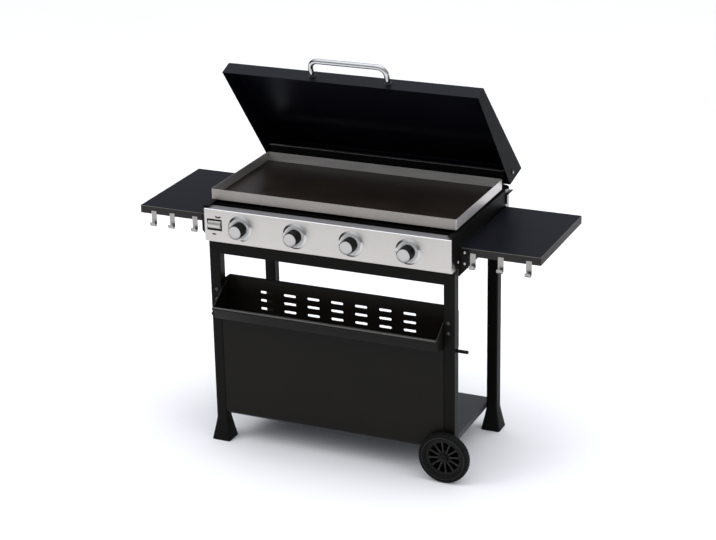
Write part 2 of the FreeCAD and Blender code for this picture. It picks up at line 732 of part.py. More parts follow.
# Slotted panel: set back behind the front legs and folded forwards to their rear faces.
def slotted_panel():
    body = new_body("slotted_panel")
    wing = "(cart_half_width-bolt_play)"
    inside = "(cart_half_width-leg_width)"
    outside = "(cart_half_width-leg_width+panel_sheet)"
    section = new_sketch(body, "XY", "slot_panel_base")
    draw_polygon(section, [
        ("-" + wing, "leg_width"), ("-" + inside, "leg_width"), ("-" + inside, "slot_panel_depth"),
        (inside, "slot_panel_depth"), (inside, "leg_width"), (wing, "leg_width"),
        (wing, "leg_width+panel_sheet"), (outside, "leg_width+panel_sheet"),
        (outside, "slot_panel_depth+panel_sheet"), ("-" + outside, "slot_panel_depth+panel_sheet"),
        ("-" + outside, "leg_width+panel_sheet"), ("-" + wing, "leg_width+panel_sheet")])
    pad(body, section, "slot_panel_top-slot_panel_base")
    block(body, "-" + outside, outside, "slot_panel_depth+panel_sheet/2",
          "slot_panel_depth+slot_panel_flange", "slot_panel_top-panel_sheet", "slot_panel_top")
    slots = new_sketch(body, "XZ", "-slot_panel_depth")
    for row in range(int(value("slot_rows"))):
        for column in range(int(value("slot_columns"))):
            across = "(%d-(slot_columns-1)/2)*slot_pitch" % column
            draw_slot(slots, across, "slot_top_row-%d*slot_row_pitch" % row, "slot_length", "slot_width")
    pocket(body, slots, "4*panel_sheet")
    for side in (LEFT, RIGHT):
        for level in ("frame_bolt_upper", "frame_bolt_lower"):
            drill(body, "XZ", "-leg_width", side + "frame_bolt_offset", level,
                  "frame_bolt_radius+bolt_play", "4*panel_sheet")
    return body


def cross_rod():
    body = new_body("cross_rod")
    bar = post(body, "YZ", "-rod_left_end", "rod_right_end", "leg_width/2", "rod_level", "rod_radius")
    doc.recompute()
    rims = ["Edge%d" % (number + 1) for number, edge in enumerate(bar.Shape.Edges)
            if isinstance(edge.Curve, Part.Circle)]
    round_edges(body, bar, rims, "rod_radius/4")
    return body


finished(storage_trough())
finished(slotted_panel())
finished(cross_rod())


# Frame bolts: through the front legs into the slotted panel.
def bolt_along_depth(label, across, level, front, back, radius, head):
    """A bolt with its head in front and a nut behind the last sheet."""
    body = new_body(label)
    post(body, "XZ", "-(%s)" % back, "-(%s)" % front, across, level, radius)
    crown = post(body, "XZ", "-(%s)" % front, "-(%s)+bolt_head_rise" % front, across, level, head)
    doc.recompute()
    far = min(vertex.Point.y for vertex in crown.Shape.Vertexes)
    rims = ["Edge%d" % (number + 1) for number, edge in enumerate(crown.Shape.Edges)
            if isinstance(edge.Curve, Part.Circle) and abs(edge.CenterOfMass.y - far) < 0.01]
    round_edges(body, crown, rims, "bolt_head_round")
    nut = new_sketch(body, "XZ", "-(%s)" % back)
    draw_circle(nut, across, level, head + "-nut_step")
    pad(body, nut, "bolt_head_rise")
    return body


frame_bolts = []
for side, side_name in ((LEFT, "left"), (RIGHT, "right")):
    for level in ("upper", "lower"):
        frame_bolts.append(bolt_along_depth(
            "frame_bolt_%s_%s" % (level, side_name), side + "frame_bolt_offset", "frame_bolt_" + level,
            "0", "leg_width+panel_sheet+bolt_head_rise", "frame_bolt_radius", "bolt_head_radius"))
finished(group("frame_bolts", frame_bolts))


# Wheel: a moulded hub, spoked in front and closed behind, in a solid tyre on a bolt.
def turned(body, corners, across, level):
    """A full turn of a radius-and-depth outline about an axle along Y."""
    sketch = body.newObject("Sketcher::SketchObject", "Sketch")
    support = [item for item in body.Origin.OriginFeatures if item.Role == "YZ_Plane"][0]
    sketch.AttachmentSupport = (support, [""])
    sketch.MapMode = "FlatFace"
    sketch.setExpression("AttachmentOffset.Base.z", bound(across))
    sketch.setExpression("AttachmentOffset.Base.y", bound(level))
    draw_polygon(sketch, corners)
    feature = body.newObject("PartDesign::Revolution", "Revolution")
    feature.Profile = sketch
    feature.ReferenceAxis = (sketch, ["H_Axis"])
    feature.Angle = 360
    body.Tip = feature
    return feature


wheel_mid = "(-wheel_gap-wheel_width/2)"


def tyre():
    body = new_body("tyre")
    near = "(%s-wheel_width/2)" % wheel_mid
    far = "(%s+wheel_width/2)" % wheel_mid
    turned(body, [
        (near + "+tyre_bead", "tyre_inner"), (far + "-tyre_bead", "tyre_inner"),
        (far, "tyre_inner+tyre_bead"), (far, "wheel_radius-tyre_shoulder"),
        (far + "-tyre_shoulder", "wheel_radius"), (near + "+tyre_shoulder", "wheel_radius"),
        (near, "wheel_radius-tyre_shoulder"), (near, "tyre_inner+tyre_bead")],
        "wheel_offset", "wheel_radius")
    return body


def wheel_hub():
    body = new_body("wheel_hub")
    bore = "axle_radius+axle_play"
    outline = []
    for sign in ("+", "-"):
        half = [("hub_width/2", bore), ("hub_width/2", "hub_radius"), ("web_width/2", "hub_radius+hub_draft"),
                ("web_width/2", "rim_inner"), ("rim_width/2", "rim_inner+rim_draft"),
                ("rim_width/2", "tyre_inner")]
        corners = [(wheel_mid + sign + depth, radius) for depth, radius in half]
        outline += corners if sign == "+" else corners[::-1]
    turned(body, outline, "wheel_offset", "wheel_radius")
    windows = new_sketch(body, "XZ", "-%s" % wheel_mid)
    for number in range(int(value("spoke_count"))):
        corners = []
        for radius, sign in (("window_inner", "+"), ("window_outer", "+"),
                             ("window_outer", "-"), ("window_inner", "-")):
            half_turn = "(180deg/spoke_count-asin(spoke_width/2/%s))" % radius
            turn = "(360deg/spoke_count*%d%s%s)" % (number, sign, half_turn)
            corners.append(("wheel_offset+%s*cos(%s)" % (radius, turn),
                            "wheel_radius+%s*sin(%s)" % (radius, turn)))
        draw_polygon(windows, corners)
    pocket(body, windows, "web_width+cut_over")
    plate = new_sketch(body, "XZ", "-(%s+wheel_back)" % wheel_mid)
    for radius in ("wheel_back_inner", "wheel_back_outer"):
        draw_circle(plate, "wheel_offset", "wheel_radius", radius)
    pad(body, plate, "wheel_back_sheet")
    return body


def axle_bolt():
    """A shank with its head, a spacer between hub and leg, and a nut behind the leg."""
    body = new_body("axle_bolt")
    nose = "(%s-hub_width/2-axle_end_gap)" % wheel_mid
    tail = "(leg_width+axle_end_gap)"
    place = ("wheel_offset", "wheel_radius")
    post(body, "XZ", "-" + tail, "-" + nose, place[0], place[1], "axle_radius")
    post(body, "XZ", "-" + nose, "-%s+axle_head_rise" % nose, place[0], place[1], "axle_head_radius")
    post(body, "XZ", "axle_end_gap", "wheel_gap-axle_end_gap", place[0], place[1], "axle_head_radius")
    post(body, "XZ", "-%s-axle_head_rise" % tail, "-" + tail, place[0], place[1], "axle_head_radius")
    return body


finished(tyre())
finished(wheel_hub())
finished(axle_bolt())


# Fire box: two folded side panels, a rear wall that rises as a splash, an inner wall and a floor.
def side_panel(label, side):
    body = new_body(label)
    inner, outer = mirrored_span(side, "box_half_width-box_flange", "box_half_width")
    form = profile(body, inner, outer, [
        ("-box_front", "box_cut_level"), ("box_cut_depth", "leg_top"), ("box_depth", "leg_top"),
        ("box_depth", "box_top"), ("-box_front", "box_top")])
    doc.recompute()
    inward = -1 if side == RIGHT else 1
    open_faces = []
    for number, face in enumerate(form.Shape.Faces):
        normal = face.normalAt(0, 0)
        if normal.x * inward > 0.9 or normal.y < -0.2:
            open_faces.append("Face%d" % (number + 1))
    open_sheet(body, form, open_faces, "box_sheet")
    for depth in ("flange_screw_front", "flange_screw_rear"):
        drill(body, "YZ", side + "box_half_width", depth, "flange_screw_level",
              "frame_bolt_radius+bolt_play", "4*box_sheet")
    return body


def rear_wall():
    body = new_body("rear_wall")
    wide = "(box_half_width-box_sheet)"
    front_plate(body, "box_depth+rear_wall_gap", "box_depth+rear_wall_gap+box_sheet", [
        ("-" + wide, "leg_top"), (wide, "leg_top"), (wide, "box_top"), ("splash_half_width", "box_top"),
        ("splash_half_width", "splash_top"), ("-splash_half_width", "splash_top"),
        ("-splash_half_width", "box_top"), ("-" + wide, "box_top")])
    back = "box_depth+rear_wall_gap"
    block(body, "-splash_half_width", "splash_half_width", back + "-splash_flange", back + "+box_sheet/2",
          "splash_top-box_sheet", "splash_top")
    window = new_sketch(body, "XZ", "-(%s)" % back)
    draw_rectangle(window, "drain_offset-chute_half-chute_room", "drain_offset+chute_half+chute_room",
                   "cup_top-chute_room", "plate_under+chute_room")
    pocket(body, window, "4*box_sheet")
    for number in range(4):
        drill(body, "XZ", "-(%s)" % back, knob_across(number), "burner_level", "peg_radius+bolt_play",
              "4*box_sheet")
    return body


def knob_across(number):
    """The place across of one of the four knobs, burners and valves."""
    return "((%d-1.5)*knob_pitch-knob_shift)" % number


def inner_wall():
    body = new_body("inner_wall")
    half = "(box_half_width-box_flange-seat_gap)"
    front_plate(body, "inner_wall_depth", "inner_wall_depth+box_sheet", [
        ("-" + half, "inner_wall_base"), (half, "inner_wall_base"),
        (half, "box_top-box_sheet"), ("-" + half, "box_top-box_sheet")])
    for number in range(4):
        drill(body, "XZ", "-inner_wall_depth", knob_across(number), "burner_level",
              "burner_radius+stem_play", "4*box_sheet")
        drill(body, "XZ", "-inner_wall_depth", knob_across(number) + "+spark_offset", "burner_level",
              "spark_radius+stem_play", "4*box_sheet")
    return body


def fire_box_floor():
    body = new_body("fire_box_floor")
    half = "(box_half_width-box_sheet-seat_gap)"
    block(body, "-" + half, half, "box_cut_depth+cut_over", "box_depth-box_sheet-seat_gap",
          "leg_top+box_sheet", "leg_top+2*box_sheet")
    return body


finished(side_panel("fire_box_left", LEFT))
finished(side_panel("fire_box_right", RIGHT))
finished(rear_wall())
finished(inner_wall())
finished(fire_box_floor())


# Burners: closed steel tubes with side ports, a peg at the rear and an open mixing end in front.
def burner(number):
    body = new_body("burner_%d" % (number + 1))
    across = knob_across(number)
    post(body, "XZ", "-burner_end", "-burner_start", across, "burner_level", "burner_radius")
    bore = new_sketch(body, "XZ", "-burner_start")
    draw_circle(bore, across, "burner_level", "burner_radius-box_sheet")
    pocket(body, bore, "2*(burner_end-burner_start-burner_cap)")
    ports = new_sketch(body, "YZ", across)
    for step in range(int(value("port_count"))):
        place = "port_start+%d*port_pitch" % step
        draw_rectangle(ports, place + "-port_length/2", place + "+port_length/2",
                       "burner_level+port_low", "burner_level+port_high")
    pocket(body, ports, "2*(burner_radius+cut_over)")
    post(body, "XZ", "-box_depth-rear_wall_gap-box_sheet", "-burner_end", across, "burner_level",
         "peg_radius")
    return body


for number in range(4):
    finished(burner(number))


# Gas manifold with its valves and the male flare inlet behind the front rail.
def gas_manifold():
    body = new_body("gas_manifold")
    half = "(fascia_half_width-fascia_sheet-seat_gap)"
    post(body, "YZ", "-" + half, half, "manifold_depth", "manifold_level", "manifold_radius")
    bore = new_sketch(body, "YZ", "0")
    draw_circle(bore, "manifold_depth", "manifold_level", "manifold_radius-leg_wall")
    pocket(body, bore, "2*(%s-burner_cap)" % half)
    return body


def gas_inlet():
    """A drop from the manifold, an elbow and a flare thread that looks to the rear."""
    body = new_body("gas_inlet")
    roof = "(manifold_level-manifold_radius)"
    floor = "(inlet_level-elbow_half)"
    post(body, "XY", "inlet_level", roof, "inlet_offset", "manifold_depth", "inlet_neck")
    block(body, "inlet_offset-elbow_half", "inlet_offset+elbow_half", "manifold_depth-elbow_half",
          "manifold_depth+elbow_half", floor, "inlet_level+elbow_half")
    post(body, "XZ", "-inlet_start-inlet_thread", "-manifold_depth", "inlet_offset", "inlet_level",
         "inlet_radius")
    post(body, "XZ", "-inlet_start", "-inlet_start+inlet_collar", "inlet_offset", "inlet_level",
         "inlet_radius+leg_wall")
    drop = new_sketch(body, "XY", roof + "-leg_wall")
    draw_circle(drop, "inlet_offset", "manifold_depth", "inlet_bore")
    pocket(body, drop, roof + "-leg_wall-inlet_level", False)
    way = new_sketch(body, "XZ", "-inlet_start-inlet_thread")
    draw_circle(way, "inlet_offset", "inlet_level", "inlet_bore")
    pocket(body, way, "inlet_start+inlet_thread-manifold_depth", False, True)
    return body


def valve(number):
    """A block with a saddle on the manifold, a gas jet and a gland for its stem."""
    body = new_body("valve_%d" % (number + 1))
    across = knob_across(number)
    tube_face = "(manifold_depth-manifold_radius)"
    block(body, across + "-valve_half", across + "+valve_half", "valve_front", tube_face + "+saddle_drop",
          "knob_level-valve_half", "knob_level+valve_half")
    block(body, across + "-saddle_half", across + "+saddle_half", tube_face + "-saddle_depth", tube_face,
          "manifold_level-saddle_drop", "knob_level-valve_half+cut_over")
    post(body, "XZ", "-burner_start-jet_reach", "-%s-saddle_depth" % tube_face, across,
         "burner_level-jet_drop", "jet_radius")
    post(body, "XZ", "-valve_front-cut_over", "fascia_front-fascia_sheet-gland_gap", across, "knob_level",
         "gland_radius")
    drill(body, "XZ", "-valve_front-stem_room", across, "knob_level", "stem_radius+stem_play", "2*valve_bore")
    return body


finished(gas_manifold())
finished(gas_inlet())
finished(group("gas_valves", [valve(number) for number in range(4)]))


# Spark electrodes: ceramic rods through the inner wall beside each burner.
def electrode(number):
    body = new_body("electrode_%d" % (number + 1))
    across = knob_across(number) + "+spark_offset"
    tip = "-inner_wall_depth-spark_length"
    post(body, "XZ", tip, "-inner_wall_depth+spark_front", across, "burner_level", "spark_radius")
    post(body, "XZ", tip + "-spark_wire_length", tip, across, "burner_level", "spark_wire")
    return body


finished(group("spark_electrodes", [electrode(number) for number in range(4)]))


# Fascia: one folded stainless sheet with bent edges, end returns and five openings.
def fascia():
    body = new_body("fascia")
    form = profile(body, "-fascia_half_width", "fascia_half_width", [
        ("-fascia_front", "fascia_base"), ("fascia_back", "fascia_base"),
        ("fascia_back", "fascia_top"), ("-fascia_front", "fascia_top")])
    front = value("-fascia_front")
    bends = edges_along(form, X_AXIS, lambda spot: abs(spot.y - front) < 0.01)
    form = round_edges(body, form, bends, "fascia_bend")
    hollow(body, form, "fascia_sheet", (0, 1, 0))
    for side in (LEFT, RIGHT):
        inner, outer = mirrored_span(side, "fascia_half_width-fascia_sheet", "fascia_half_width")
        profile(body, inner, outer, [
            ("fascia_back-fascia_sheet", "fascia_base"), ("return_depth", "fascia_base"),
            ("fascia_back-fascia_sheet", "fascia_base+return_rise")])
    vents = new_sketch(body, "YZ", "0")
    draw_slot(vents, "-vent_depth", "fascia_base+vent_rise", "vent_length", "vent_width")
    pocket(body, vents, "2*(fascia_half_width+cut_over)")
    for number in range(4):
        drill(body, "XZ", "fascia_front", knob_across(number), "knob_level", "bezel_inner", "4*fascia_sheet")
    window = new_sketch(body, "XZ", "fascia_front")
    draw_rectangle(window, "-igniter_centre-igniter_width/2", "-igniter_centre+igniter_width/2",
                   "igniter_level-igniter_height/2", "igniter_level+igniter_height/2")
    pocket(body, window, "4*fascia_sheet")
    passage = new_sketch(body, "XY", "fascia_base")
    draw_circle(passage, "inlet_offset", "manifold_depth", "inlet_neck+cut_over")
    pocket(body, passage, "4*fascia_sheet")
    return body


# Knob bezels: dished rings pressed on the fascia round the knob openings.
def bezel(number):
    body = new_body("bezel_%d" % (number + 1))
    face = "-fascia_front"
    turned(body, [
        (face, "bezel_inner"), (face, "bezel_radius"), (face + "-bezel_edge", "bezel_radius"),
        (face + "-bezel_rise", "bezel_radius-bezel_flank"),
        (face + "-bezel_rise", "bezel_radius-bezel_flank-bezel_land"), (face + "-bezel_dish", "bezel_inner")],
        knob_across(number), "knob_level")
    return body


finished(fascia())
finished(group("knob_bezels", [bezel(number) for number in range(4)]))


# Valve stems and knobs: a knob turns on its stem, and the stem is pushed in against the valve.
def stem(number):
    body = new_body("stem_%d" % (number + 1))
    post(body, "XZ", "-valve_front-stem_room", "fascia_front+knob_lift+knob_length-knob_cap-cut_over",
         knob_across(number), "knob_level", "stem_radius")
    return body


def knob(number):
    body = new_body("knob_%d" % (number + 1))
    across = knob_across(number)
    back = "-fascia_front-knob_lift"
    front = "(%s-knob_length)" % back
    shoulder = front + "+knob_disc_rise"
    bore = "stem_radius+stem_play"
    turned(body, [
        (back, bore), (back, "knob_radius"), (back + "-knob_skirt", "knob_radius"),
        (front + "+knob_round", "knob_radius-knob_taper"), (shoulder, "knob_radius-knob_round"),
        (shoulder, "knob_face_radius+knob_disc_rise"), (front, "knob_face_radius"), (front, "0"),
        (front + "+knob_cap", "0"), (front + "+knob_cap", bore)],
        across, "knob_level")
    flutes = new_sketch(body, "XZ", "-(%s)+knob_skirt" % back)
    for step in range(int(value("knob_grips"))):
        turn = "(360deg/knob_grips*%d)" % step
        draw_circle(flutes, across + "+(knob_radius+flute_out)*cos(%s)" % turn,
                    "knob_level+(knob_radius+flute_out)*sin(%s)" % turn, "flute_radius")
    pocket(body, flutes, "2*knob_length", False, True)
    return body


for number in range(4):
    finished(stem(number))
    finished(knob(number))


# Igniter: a recessed box in the fascia, a barrel button across it and the spark unit behind.
igniter_across = "(-igniter_centre)"


def igniter_recess():
    body = new_body("igniter_recess")
    wide = "(igniter_width/2-seat_gap)"
    tall = "(igniter_height/2-seat_gap)"
    box = block(body, igniter_across + "-" + wide, igniter_across + "+" + wide, "-fascia_front-recess_lip",
                "-fascia_front+igniter_recess", "igniter_level-" + tall, "igniter_level+" + tall)
    hollow(body, box, "recess_wall", (0, -1, 0))
    drill(body, "XZ", "fascia_front-igniter_recess", igniter_across, "igniter_level", "button_pin+pin_play",
          "4*recess_wall")
    return body


def spark_unit():
    body = new_body("spark_unit")
    block(body, igniter_across + "-spark_unit_half", igniter_across + "+spark_unit_half",
          "-fascia_front+igniter_recess+seat_gap", "inner_wall_depth-seat_gap",
          "igniter_level-spark_unit_height/2", "igniter_level+spark_unit_height/2")
    drill(body, "XZ", "fascia_front-igniter_recess", igniter_across, "igniter_level", "button_pin+pin_play",
          "2*(pin_reach+button_travel+cut_over)")
    return body


def igniter_button():
    body = new_body("igniter_button")
    middle = "-fascia_front-button_proud+button_radius"
    bar = post(body, "YZ", igniter_across + "-button_length/2", igniter_across + "+button_length/2",
               middle, "igniter_level", "button_radius")
    doc.recompute()
    rims = ["Edge%d" % (index + 1) for index, edge in enumerate(bar.Shape.Edges)
            if isinstance(edge.Curve, Part.Circle)]
    round_edges(body, bar, rims, "button_round")
    post(body, "XZ", "fascia_front-igniter_recess-pin_reach", "-(%s)" % middle, igniter_across,
         "igniter_level", "button_pin")
    return body


finished(igniter_recess())
finished(spark_unit())
finished(igniter_button())


# Griddle: a welded tray, a stainless rim round a thick cooking plate with a drain in one corner.
def griddle_rim():
    body = new_body("griddle_rim")
    ring = block(body, "-tray_half_width", "tray_half_width", "tray_front", "tray_back",
                 "tray_base", "tray_top")
    ring = round_edges(body, ring, edges_along(ring, Z_AXIS, lambda spot: True), "tray_corner")
    hollow(body, ring, "rim_sheet", (0, 0, 1), (0, 0, -1))
    return body


def griddle_plate():
    body = new_body("griddle_plate")
    half = "(tray_half_width-rim_sheet)"
    slab = block(body, "-" + half, half, "tray_front+rim_sheet", "tray_back-rim_sheet",
                 "plate_under", "plate_top")
    round_edges(body, slab, edges_along(slab, Z_AXIS, lambda spot: True), "tray_corner-rim_sheet")
    feet = new_sketch(body, "XY", "box_top")
    for side in (LEFT, RIGHT):
        for depth in ("plate_foot_front", "plate_foot_back"):
            draw_circle(feet, side + "plate_foot_offset", depth, "plate_foot_radius")
    pad(body, feet, "plate_under-box_top+rim_sheet")
    post(body, "XY", "plate_under-drain_drop", "plate_under+rim_sheet", "drain_offset", "drain_depth",
         "drain_radius+drain_wall")
    drill(body, "XY", "plate_under", "drain_offset", "drain_depth", "drain_radius",
          "2*(plate_top-plate_under+cut_over)")
    return body


# Grease path: a chute under the drain, a forked bracket and a cup hanging in it by its collar.
def grease_chute():
    body = new_body("grease_chute")
    left = "drain_offset-chute_half"
    right = "drain_offset+chute_half"
    end = "(box_depth+rear_wall_gap+box_sheet+chute_reach)"
    form = profile(body, left, right, [
        ("chute_start", "cup_top+chute_fall+chute_sheet"), (end, "cup_top+chute_sheet"),
        (end, "cup_top+chute_side"), ("chute_start", "cup_top+chute_side")])
    doc.recompute()
    open_faces = []
    for number, face in enumerate(form.Shape.Faces):
        normal = face.normalAt(0, 0)
        if normal.z > 0.9 or normal.y > 0.9:
            open_faces.append("Face%d" % (number + 1))
    open_sheet(body, form, open_faces, "chute_sheet")
    wall = "(box_depth+rear_wall_gap-seat_gap)"
    block(body, left, right, wall + "-chute_sheet", wall, "cup_top-chute_stop", "cup_top+2*chute_sheet")
    return body


def cup_fork():
    body = new_body("cup_fork")
    wall = "(box_depth+rear_wall_gap+box_sheet)"
    left = "drain_offset-cup_radius-fork_arm"
    right = "drain_offset+cup_radius+fork_arm"
    block(body, left, right, wall, "fork_end", "fork_level-fork_sheet", "fork_level")
    block(body, left, right, wall, wall + "+fork_sheet", "fork_level-fork_drop", "fork_level")
    drill(body, "XY", "fork_level-fork_sheet/2", "drain_offset", "cup_depth", "cup_radius+fork_play",
          "3*fork_sheet")
    mouth = new_sketch(body, "XY", "fork_level-fork_sheet/2")
    draw_rectangle(mouth, "drain_offset-cup_radius-fork_play", "drain_offset+cup_radius+fork_play",
                   "cup_depth", "cup_depth+cup_radius")
    pocket(body, mouth, "3*fork_sheet")
    return body


def grease_cup():
    body = new_body("grease_cup")
    collar = "(fork_level+seat_gap)"
    post(body, "XY", "cup_base", "cup_top", "drain_offset", "cup_depth", "cup_radius")
    post(body, "XY", collar, collar + "+collar_rise", "drain_offset", "cup_depth", "cup_collar")
    bore = new_sketch(body, "XY", "cup_top")
    draw_circle(bore, "drain_offset", "cup_depth", "cup_radius-cup_sheet")
    pocket(body, bore, "2*(cup_top-cup_base-cup_sheet)")
    return body


finished(griddle_plate())
finished(griddle_rim())
finished(grease_chute())
finished(cup_fork())
finished(grease_cup())


# Lid hinge: a rod through two ears on the splash wall, capped outside the lid's sides.
def hinge_ears():
    body = new_body("hinge_ears")
    wall = "(box_depth+rear_wall_gap+box_sheet)"
    crown = "pivot_depth+ear_nose"
    for side in (LEFT, RIGHT):
        inner, outer = mirrored_span(side, "ear_offset-ear_sheet/2", "ear_offset+ear_sheet/2")
        profile(body, inner, outer, [
            (wall, "pivot_level-ear_foot"), (crown + "-ear_chamfer", "pivot_level-ear_nose"),
            (crown, "pivot_level-ear_nose+ear_chamfer"), (crown, "pivot_level+ear_nose-ear_chamfer"),
            (crown + "-ear_chamfer", "pivot_level+ear_nose"), (wall, "pivot_level+ear_head")])
        block(body, side + "ear_offset-ear_plate_half", side + "ear_offset+ear_plate_half", wall,
              wall + "+ear_plate_sheet", "pivot_level-ear_foot-ear_plate_sheet", "pivot_level+ear_head")
    drill(body, "YZ", "0", "pivot_depth", "pivot_level", "hinge_radius", "2*(ear_offset+ear_plate_half)")
    return body


def hinge_rod():
    body = new_body("hinge_rod")
    reach = "(lid_half_width+seat_gap)"
    post(body, "YZ", "-" + reach, reach, "pivot_depth", "pivot_level", "hinge_radius")
    for start, end in ((reach, reach + "+rod_cap_length"), ("-%s-rod_cap_length" % reach, "-" + reach)):
        post(body, "YZ", start, end, "pivot_depth", "pivot_level", "hinge_radius+rod_cap")
    return body


finished(hinge_ears())
finished(hinge_rod())


# Lid: a deep folded pan, drawn closed about its pivot and turned back to stand open.
def lid_body(label, reach="0", rise="0", extra="0"):
    """A body in the lid's frame; reach and rise are its place from the pivot when closed."""
    depth = "pivot_depth-cart_front+(%s)*cos(lid_open_angle)+(%s)*sin(lid_open_angle)" % (reach, rise)
    level = "pivot_level-(%s)*sin(lid_open_angle)+(%s)*cos(lid_open_angle)" % (reach, rise)
    body = new_body(label, depth, level)
    body.Placement.Rotation = FreeCAD.Rotation(FreeCAD.Vector(-1, 0, 0), value("lid_open_angle+(%s)" % extra))
    body.setExpression("Placement.Rotation.Angle", bound("lid_open_angle+(%s)" % extra))
    return body


def lid_shell():
    body = lid_body("lid_shell")
    form = profile(body, "-lid_half_width", "lid_half_width", [
        ("-lip_reach", "-lip_drop"), ("tail_reach", "-tail_drop"), ("heel_reach", "heel_rise"),
        ("-brow_reach", "brow_rise")])
    doc.recompute()
    brow = value("brow_rise") - 0.5
    rounded = ["Edge%d" % (number + 1) for number, edge in enumerate(form.Shape.Edges)
               if edge.CenterOfMass.z > brow]
    form = round_edges(body, form, rounded, "lid_bend")
    under = ["Face%d" % (number + 1) for number, face in enumerate(form.Shape.Faces)
             if isinstance(face.Surface, Part.Plane) and face.normalAt(0, 0).z < -0.9]
    open_sheet(body, form, under, "lid_sheet")
    drill(body, "YZ", "0", "0", "0", "hinge_radius+hinge_play", "2*(lid_half_width+cut_over)")
    return body


front_lean = "atan2(lip_reach-brow_reach;brow_rise+lip_drop)/1deg"
front_reach = "-(lip_reach+brow_reach)/2"
front_rise = "(brow_rise-lip_drop)/2"


# Handle: one bent tube whose legs stand square to the lid's front face.
def lid_handle():
    body = lid_body("lid_handle", front_reach, front_rise, front_lean)
    route = new_sketch(body, "XY", "0")
    half = value("handle_half")
    stand = value("handle_stand")
    bend = value("handle_bend")
    normal = FreeCAD.Vector(0, 0, 1)
    corner = math.pi / 2
    left_foot = FreeCAD.Vector(-half, 0, 0)
    left_bend = FreeCAD.Vector(-half, bend - stand, 0)
    bar_left = FreeCAD.Vector(bend - half, -stand, 0)
    bar_right = FreeCAD.Vector(half - bend, -stand, 0)
    right_bend = FreeCAD.Vector(half, bend - stand, 0)
    right_foot = FreeCAD.Vector(half, 0, 0)
    left = Part.Circle(FreeCAD.Vector(bend - half, bend - stand, 0), normal, bend)
    right = Part.Circle(FreeCAD.Vector(half - bend, bend - stand, 0), normal, bend)
    route.addGeometry(Part.LineSegment(left_foot, left_bend), False)
    route.addGeometry(Part.ArcOfCircle(left, 2 * corner, 3 * corner), False)
    route.addGeometry(Part.LineSegment(bar_left, bar_right), False)
    route.addGeometry(Part.ArcOfCircle(right, -corner, 0), False)
    route.addGeometry(Part.LineSegment(right_bend, right_foot), False)
    for here, end, there, start in ((0, 2, 1, 1), (1, 2, 2, 1), (2, 2, 3, 1), (3, 2, 4, 1)):
        route.addConstraint(Sketcher.Constraint("Tangent", here, end, there, start))
    pin_point(route, 0, 1, "-handle_half", "0")
    pin_point(route, 4, 2, "handle_half", "0")
    pin_point(route, 1, 3, "handle_bend-handle_half", "handle_bend-handle_stand")
    pin_point(route, 3, 3, "handle_half-handle_bend", "handle_bend-handle_stand")
    ring = new_sketch(body, "XZ", "0")
    draw_circle(ring, "-handle_half", "0", "handle_radius")
    pipe = body.newObject("PartDesign::AdditivePipe", "Pipe")
    pipe.Profile = ring
    pipe.Spine = route
    body.Tip = pipe
    return body


def ferrules():
    members = []
    for side, side_name in ((LEFT, "left"), (RIGHT, "right")):
        body = lid_body("ferrule_" + side_name, front_reach, front_rise, front_lean)
        ring = new_sketch(body, "XZ", "0")
        draw_circle(ring, side + "handle_half", "0", "ferrule_radius")
        draw_circle(ring, side + "handle_half", "0", "handle_radius")
        pad(body, ring, "ferrule_rise")
        members.append(body)
    return group("handle_ferrules", members)


finished(lid_shell())
finished(lid_handle())
finished(ferrules())


# Side shelves: pressed pans with hanger tabs, bolted to gusset brackets screwed on the fire box.
def side_shelf(label, side):
    body = new_body(label)
    near, far = mirrored_span(side, "side_inner", "side_outer")
    pan = block(body, near, far, "side_front", "side_back", "side_level-side_rim", "side_level")
    top = value("side_level")
    corners = edges_along(pan, Z_AXIS, lambda spot: abs(spot.x) > value("side_outer") - 1)
    pan = round_edges(body, pan, corners, "side_bend")
    rim = edges_along(pan, X_AXIS, lambda spot: spot.z > top - 0.01)
    rim += edges_along(pan, Y_AXIS, lambda spot: spot.z > top - 0.01)
    rim += ["Edge%d" % (number + 1) for number, edge in enumerate(pan.Shape.Edges)
            if isinstance(edge.Curve, Part.Circle) and edge.CenterOfMass.z > top - 0.01]
    pan = round_edges(body, pan, rim, "side_top_bend")
    hollow(body, pan, "side_sheet", (0, 0, -1))
    near, far = mirrored_span(side, "side_inner+side_sheet", "side_inner+tab_width")
    for front in ("side_front", "side_back-side_sheet"):
        front_plate(body, front, front + "+side_sheet", [
            (near, "side_level-tab_drop"), (far, "side_level-tab_drop"),
            (far, "side_level-side_rim+cut_over"), (near, "side_level-side_rim+cut_over")])
        for level in ("side_bolt_upper", "side_bolt_lower"):
            drill(body, "XZ", "-(%s)" % front, side + "side_bolt_offset", level,
                  "frame_bolt_radius+bolt_play", "4*side_sheet")
    return body


def shelf_bracket(label, side, front, flange_front, screw_depth):
    """A gusset plate across the shelf's end flange, folded along the fire box side."""
    body = new_body(label)
    plate = [("box_half_width", "bracket_base"), ("bracket_outer", "bracket_edge_base"),
             ("bracket_outer", "side_level-cut_over"), ("box_half_width", "side_level-cut_over")]
    if side == LEFT:
        plate = [("-" + across, level) for across, level in plate]
    front_plate(body, front, front + "+bracket_sheet", plate)
    near, far = mirrored_span(side, "box_half_width", "box_half_width+bracket_sheet")
    block(body, near, far, flange_front, flange_front + "+bracket_flange", "leg_top+bracket_inset",
          "side_level-bracket_inset")
    for level in ("side_bolt_upper", "side_bolt_lower"):
        drill(body, "XZ", "-(%s)" % front, side + "side_bolt_offset", level,
              "frame_bolt_radius+bolt_play", "4*bracket_sheet")
    drill(body, "YZ", side + "box_half_width", screw_depth, "flange_screw_level",
          "frame_bolt_radius+bolt_play", "4*bracket_sheet")
    return body


